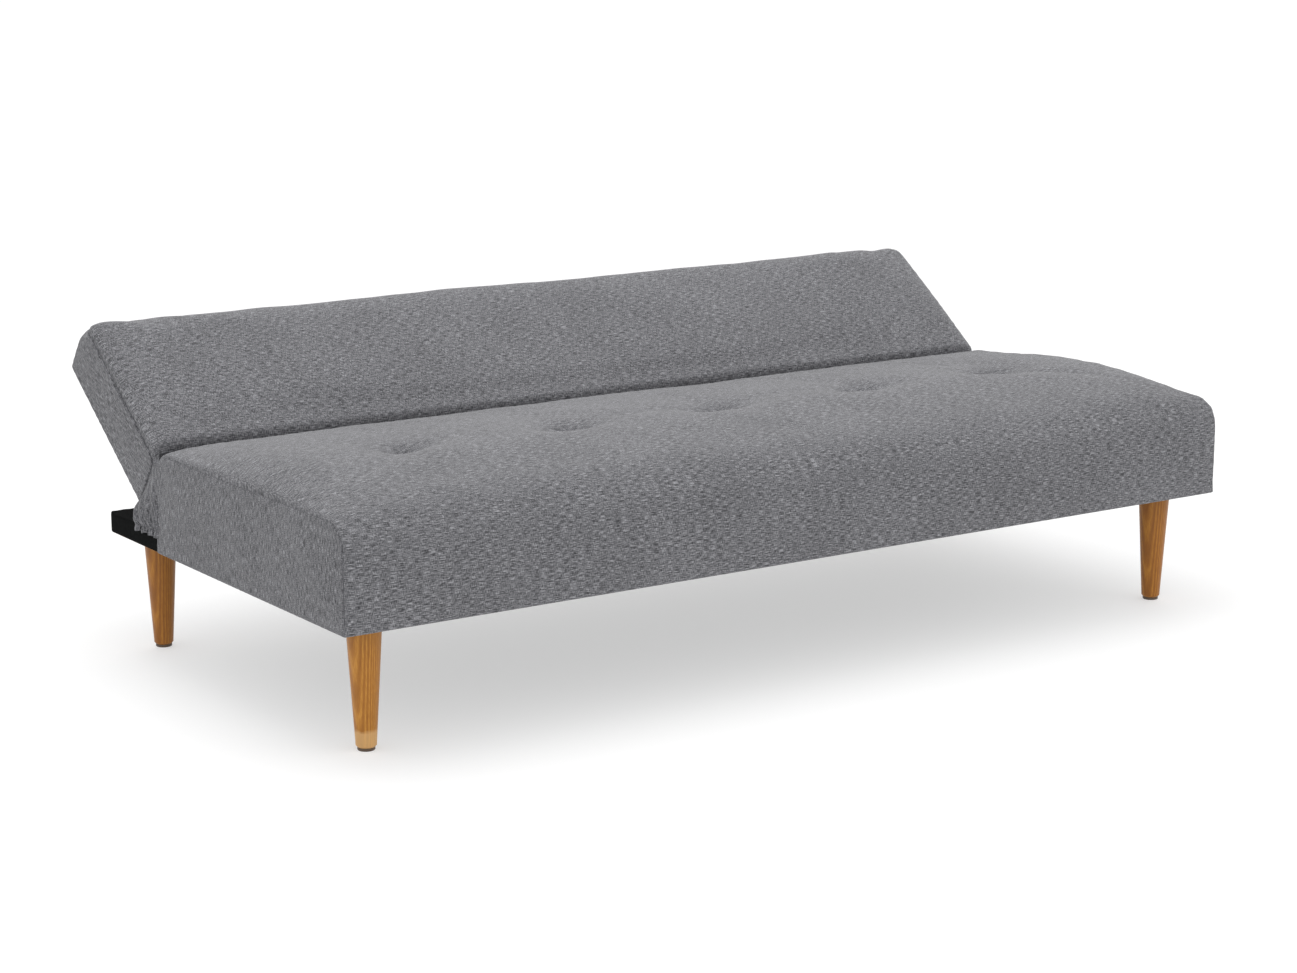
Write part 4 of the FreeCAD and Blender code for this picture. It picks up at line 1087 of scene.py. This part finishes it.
@dataclass
class Skirts:
    """Gathered cloth that closes the space behind the seat: two gussets and a rear skirt."""

    back: Back
    tuck: float = 26 * MM
    overhang: float = 8 * MM
    thick: float = 1.2 * MM
    gathers: int = 5
    fullness: float = 1.35
    front_tuck: float = 14 * MM
    rear_bulge: float = 13 * MM
    rear_wrap: float = 20 * MM
    skirt_drop: float = 45 * MM
    skirt_gather: float = 31 * MM

    def outline(self, node: str) -> np.ndarray:
        """A gusset's corners in the plane of the sofa's end.

        Args:
            node: the gusset's CAD node.

        Returns:
            Four (y, z): front and rear of the hem, then rear and front of the top.
        """
        low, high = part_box(node)
        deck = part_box("base_cover")[1].z
        heel = self.back.heel()
        toe = self.back.outside(np.array([[0.0, self.back.low[1] + 14 * MM, 6 * MM]]))[0]
        return np.array(
            (
                (low.y - self.tuck, deck - self.overhang),
                (high.y + 5 * MM, deck - self.overhang),
                (heel[1] + 2 * MM, heel[2] + 6 * MM),
                (toe[1] - self.tuck * 0.6, toe[2] + 10 * MM),
            )
        )

    def cut(self, node: str) -> tuple[tuple[float, float], float]:
        """The cloth a gusset is cut from, worked out from its outline and not from its mesh.

        The hem is cut longer than it hangs by the fullness and the top isn't, so the cut's
        area is the outline's own area (shoelace formula) times the mean of 1 and the fullness.

        Args:
            node: the gusset's CAD node.

        Returns:
            The flat width and length, and the flat area.
        """
        corners = self.outline(node)
        y, z = corners.T
        area = abs(np.dot(y, np.roll(z, -1)) - np.dot(z, np.roll(y, -1))) / 2.0
        width = (y[1] - y[0]) * self.fullness
        return (width, z.max() - z.min()), area * (1.0 + self.fullness) / 2.0

    def gusset(self, side: int) -> bpy.types.Object:
        """One end's gusset: a four-cornered sheet, ruffled towards its hem.

        The sheet is a straight blend of its four corners.  Its distance from the sofa's
        end is a soft belly plus cos folds that grow towards the hem.

        Args:
            side: -1 for the left end, 1 for the right.

        Returns:
            The gusset.
        """
        node = "gusset_left" if side < 0 else "gusset_right"
        low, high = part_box(node)
        hem_front, hem_rear, top_rear, top_front = self.outline(node)
        columns, rows = 90, 60
        u = np.linspace(0.0, 1.0, columns)[None, :]
        v = np.linspace(0.0, 1.0, rows)[:, None]
        foot_y = hem_front[0] + (hem_rear[0] - hem_front[0]) * u
        foot_z = hem_front[1] + 1.2 * MM * np.cos(math.tau * 5.5 * u)
        top_y = top_front[0] + (top_rear[0] - top_front[0]) * u
        top_z = top_front[1] + (top_rear[1] - top_front[1]) * u
        lift = v ** (1.0 - 0.25 * u)
        y = foot_y * (1 - lift) + top_y * lift + self.rear_bulge * np.sin(np.pi * v**0.6) * u**3
        y = y - self.front_tuck * np.sin(np.pi * v) * (1 - u) ** 3
        z = foot_z * (1 - lift) + top_z * lift
        belly = 5 * MM * np.sin(np.pi * np.clip(v * 1.15, 0, 1)) * np.sin(np.pi * u) ** 0.7
        phase = math.tau * self.gathers * u + 0.9 * np.sin(5.0 * u) + 0.6 * np.sin(4.0 * v)
        folds = (4.6 * MM * (1 - v) ** 1.6 + 0.5 * MM) * np.cos(phase)
        folds *= smooth(0.0, 0.16, u) * smooth(0.0, 0.10, 1 - v + 0.02)
        pinch = -3.0 * MM * bell(v - 0.10, 0.06)
        base = abs(high.x if side > 0 else low.x) + 4 * MM
        x = base - 9 * MM * smooth(0.45, 1.0, v) + belly + folds + pinch
        x = x - 6 * MM * smooth(0.12, 0.0, u) - self.rear_wrap * smooth(0.90, 1.0, u)
        grid = np.stack((side * x, y + 0 * x, z + 0 * x), axis=-1)
        if side < 0:
            grid = grid[:, ::-1]
        width, height = self.cut(node)[0]
        cloth = grid_cloth(grid, np.linspace(0, width, columns), np.linspace(0, height, rows))
        cloth.weave = cloth.weave[:, ::-1]
        piece = build_thick(cloth, node + "_cloth", self.thick)
        dress(piece, FABRIC_SHADED)
        return piece

    def rear(self) -> bpy.types.Object:
        """The skirt between the back's heel and the deck, gathered all along."""
        low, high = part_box("skirt_rear")
        heel = self.back.heel()
        columns, rows = 620, 22
        u = np.linspace(-1.0, 1.0, columns)[None, :]
        v = np.linspace(0.0, 1.0, rows)[:, None]
        half = high.x + 2 * MM
        x = half * u + 0 * v
        gather = 2.2 * MM * np.sin(math.tau * x / self.skirt_gather + 1.6 * np.sin(x * 23.0))
        gather *= 0.4 + 0.6 * (1 - v)
        belly = 6 * MM * np.sin(np.pi * v)
        y = (high.y + 3 * MM) * (1 - v) + (heel[1] + 1 * MM) * v + belly + gather
        y = y - 4 * MM * smooth(0.985, 1.0, np.abs(u))
        z = (low.z - 0.2 * MM) * (1 - v) + (heel[2] + 7 * MM) * v + 0 * x
        grid = np.stack((x, y, z), axis=-1)[:, ::-1]
        cloth = grid_cloth(
            grid, np.linspace(0, 2 * half * self.fullness, columns), np.linspace(0, self.skirt_drop, rows)
        )
        piece = build_thick(cloth, "skirt_rear_cloth", self.thick)
        dress(piece, FABRIC_SHADED)
        return piece

    def assemble(self) -> None:
        """Build the three sheets in place of their CAD nodes, and log each one's faces and the gussets'
        cuts.
        """
        heel = self.back.heel()
        for side, name in ((-1, "gusset_left"), (1, "gusset_right")):
            piece = self.gusset(side)
            low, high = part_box(name)
            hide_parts(name)
            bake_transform(piece)
            flat, area = self.cut(name)
            LOG.info("%s: cut %.4f x %.4f m, area %.5f m2", name, *flat, area)
            report(piece)
        piece = self.rear()
        low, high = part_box("skirt_rear")
        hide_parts("skirt_rear")
        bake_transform(piece)
        flat = ((high.x - low.x) * self.fullness, self.skirt_drop)
        report(piece)


@dataclass
class Base:
    """The low base: the black wrapped deck behind the seat and the dust cloth below."""

    corner: float = 20 * MM
    edge: float = 3.5 * MM
    sag: float = 3.5 * MM
    cloth: float = 0.9 * MM
    dust_inset: float = 7 * MM

    def deck(self) -> bpy.types.Object:
        """The deck wrapped in black cloth, drawn tight, with faint pulls at its corners."""
        low, high = (np.array(corner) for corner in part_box("base_cover"))
        low[1] -= 4 * MM
        low[2] += 0.8 * MM
        xs = graded(low[0], high[0], 10 * MM, 22 * MM, 9)
        ys = graded(low[1], high[1], 8 * MM, 22 * MM, 9)
        zs = graded(low[2], high[2], 4 * MM, 6 * MM, 4)
        flat, quads, _ = box_lattice(xs, ys, zs)
        x, y, z = flat.T
        points = soften_edges(flat, low, high, self.edge)
        for sign in (-1, 1):
            round_corner(points, 0, 1, (sign * high[0], sign, high[1], 1), self.corner)
        rim = np.minimum(high[0] - np.abs(x), high[1] - y)
        top = smooth(high[2] - 4 * MM, high[2], z)
        dip = 1.6 * MM * smooth(0.03, 0.09, rim) * smooth(0.0, 0.05, y - low[1])
        corner = np.hypot(high[0] - np.abs(x), high[1] - y)
        pull = 0.5 * MM * np.sin(corner / 0.0042 + 3 * y / 0.03) * bell(corner, 0.05)
        points[:, 2] -= top * (dip + 0.35 * MM * uneven(x, y, 0.12, 41) + pull)
        side = smooth(0.0, 0.004, z - low[2]) * smooth(0.0, 0.004, high[2] - z)
        points[:, 1] += 0.5 * MM * uneven(x, z, 0.16, 42) * side * (y > high[1] - MM)
        piece = Cloth(points, quads, plan_weave(flat, quads)).build("deck_cloth")
        dress(piece, LINING)
        return piece

    def underside(self) -> bpy.types.Object:
        """The dust cloth: a thin sheet that sags between the legs and is tight at its rim."""
        low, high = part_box("dust_cover")
        xs = np.linspace(low.x + self.dust_inset, high.x - self.dust_inset, 190)
        ys = np.linspace(low.y + self.dust_inset, high.y + 6 * MM, 90)
        x, y = np.meshgrid(xs, ys)
        rim = np.minimum(xs[-1] - np.abs(x), np.minimum(y - ys[0], ys[-1] - y))
        slack = smooth(0.0, 0.16, rim)
        for name in ("leg_front_left", "leg_front_right", "leg_rear_left", "leg_rear_right"):
            leg_low, leg_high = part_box(name)
            away = np.hypot(x - (leg_low.x + leg_high.x) / 2, y - (leg_low.y + leg_high.y) / 2)
            slack = slack * smooth(0.034, 0.12, away)
        drag = uneven(x, y, 0.07, 51) * smooth(0.0, 0.03, rim) * bell(rim, 0.10)
        z = low.z - 0.5 * MM - slack * (self.sag + 1.0 * MM * uneven(x, y, 0.3, 52))
        z = z - 0.4 * MM * np.abs(drag) * slack
        grid = np.stack((x, y, z), axis=-1)
        cloth = grid_cloth(grid, xs, ys)
        cloth.quads = cloth.quads[:, ::-1]
        piece = build_thick(cloth, "dust_cloth", self.cloth)
        dress(piece, DUST_CLOTH)
        return piece

    def assemble(self) -> None:
        """Build, dress and place the deck and the dust cloth."""
        deck = self.deck()
        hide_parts("base_cover")
        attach(deck, "stand")
        report(deck)
        dust = self.underside()
        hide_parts("dust_cover")
        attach(dust, "stand")
        report(dust)


@dataclass
class Structure:
    """The CAD nodes that keep their own shape: legs, frame, springs and hinges."""

    light_foot_height: float = 34 * MM

    def dress_legs(self) -> None:
        """Give each leg beech in tones of painted light and shade, and the front left foot its lighter
        band.
        """
        # Painted light and shade: the front left leg, in the most light, has the lightest tones, and the
        # others darker ones.
        lit_and_shaded_tones = {
            "leg_front_left": ("#8b540f", "#a66c1f", "#bc8230"),
            "leg_front_right": ("#7c480a", "#965d16", "#ac7222"),
            "leg_rear_left": ("#7a470a", "#935b15", "#a86f20"),
            "leg_rear_right": ("#7a470a", "#935b15", "#a86f20"),
        }
        for name, (dark, mid, light) in lit_and_shaded_tones.items():
            low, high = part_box(name)
            centre = ((low.x + high.x) / 2, (low.y + high.y) / 2, 0.0)
            light_foot_height = self.light_foot_height if name == "leg_front_left" else 0.0
            finish = TurnedBeech(
                "beech_" + name[4:], "turned_wood", centre=centre,
                dark=dark, mid=mid, light=light, light_foot_height=light_foot_height,
            )
            dress(frame["nodes"][name], finish)

    def dress_rest(self) -> None:
        """Give every other node the finish of its slot in the record."""
        slots = {part["node"]: part["material_slot"] for part in frame["record"]["subparts"]}
        for name, node in frame["nodes"].items():
            if name.startswith("leg_"):
                continue
            finish = FINISHES.get(slots.get(name, ""), FABRIC_SHADED)
            dress(node, finish)
            LOG.info("%s: %s", name, finish.name)

    def assemble(self) -> None:
        """Dress all CAD nodes."""
        self.dress_legs()
        self.dress_rest()


@dataclass(frozen=True)
class Studio:
    """A pale floor that runs off to white, soft light from above and in front, one camera."""

    camera_place: tuple = (-2.859, -4.175, 1.333)
    camera_yaw: float = 34.3
    camera_pitch: float = 12.22
    lens: float = 79.9
    floor: str = "#bcbcbc"
    glow: float = 0.5
    half_floor: float = 30.0
    sky: str = "#ffffff"

    def ground(self) -> None:
        """A pale floor that glows a little, so its shadow is light, and is clear from below."""
        half = self.half_floor
        corners = [(-half, -half, 0.0), (half, -half, 0.0), (half, half, 0.0), (-half, half, 0.0)]
        mesh = bpy.data.meshes.new("floor")
        mesh.from_pydata(corners, [], [(0, 1, 2, 3)])
        floor = bpy.data.objects.new("floor", mesh)
        bpy.context.scene.collection.objects.link(floor)
        material = bpy.data.materials.new("floor")
        material.use_nodes = True
        shader = material.node_tree.nodes["Principled BSDF"]
        shader.inputs["Base Color"].default_value = linear(self.floor)
        shader.inputs["Roughness"].default_value = 0.8
        shader.inputs["Emission Color"].default_value = linear(self.sky)
        shader.inputs["Emission Strength"].default_value = self.glow
        tree = material.node_tree
        side = add(tree, "ShaderNodeNewGeometry")
        clear = add(tree, "ShaderNodeBsdfTransparent")
        seen = add(
            tree,
            "ShaderNodeMixShader",
            links={0: side.outputs["Backfacing"], 1: shader.outputs[0], 2: clear.outputs[0]},
        )
        tree.links.new(seen.outputs[0], tree.nodes["Material Output"].inputs["Surface"])
        mesh.materials.append(material)

    def light(self, name: str, place: tuple, aim: tuple, size: float, watts: float) -> None:
        """A square soft light that faces a point.

        Args:
            name: the lamp's name.
            place: where it stands.
            aim: the point it faces.
            size: its side.
            watts: its power.
        """
        data = bpy.data.lights.new(name, "AREA")
        data.shape = "SQUARE"
        data.size = size
        data.energy = watts
        lamp = bpy.data.objects.new(name, data)
        lamp.location = place
        direction = Vector(aim) - Vector(place)
        lamp.rotation_euler = direction.to_track_quat("-Z", "Y").to_euler()
        bpy.context.scene.collection.objects.link(lamp)

    def assemble(self) -> None:
        """Floor, sky, lights and camera."""
        scene = bpy.context.scene
        scene.view_settings.view_transform = "Standard"
        world = bpy.data.worlds.new("studio")
        world.use_nodes = True
        sky = world.node_tree.nodes["Background"]
        sky.inputs[0].default_value = linear(self.sky)
        sky.inputs[1].default_value = 1.0
        scene.world = world
        self.ground()
        self.light("overhead", (-0.3, 0.6, 3.6), (0.0, 0.1, 0.3), 2.6, 48.0)
        self.light("front", (2.8, -3.6, 2.0), (0.2, 0.0, 0.3), 2.2, 9.0)
        data = bpy.data.cameras.new("camera")
        data.lens = self.lens
        data.sensor_width = 36.0
        camera = bpy.data.objects.new("camera", data)
        camera.location = self.camera_place
        tilt = math.radians(90.0 - self.camera_pitch)
        camera.rotation_euler = (tilt, 0.0, -math.radians(self.camera_yaw))
        scene.collection.objects.link(camera)
        scene.camera = camera


def main() -> None:
    """Build the sofa bed from its base up, and the studio round it."""
    logging.basicConfig(level=logging.INFO, format="%(name)s: %(message)s")
    Studio().assemble()
    Structure().assemble()
    Base().assemble()
    Seat().assemble()
    back = Back()
    back.assemble()
    Skirts(back).assemble()


if __name__ == "__main__":
    main()
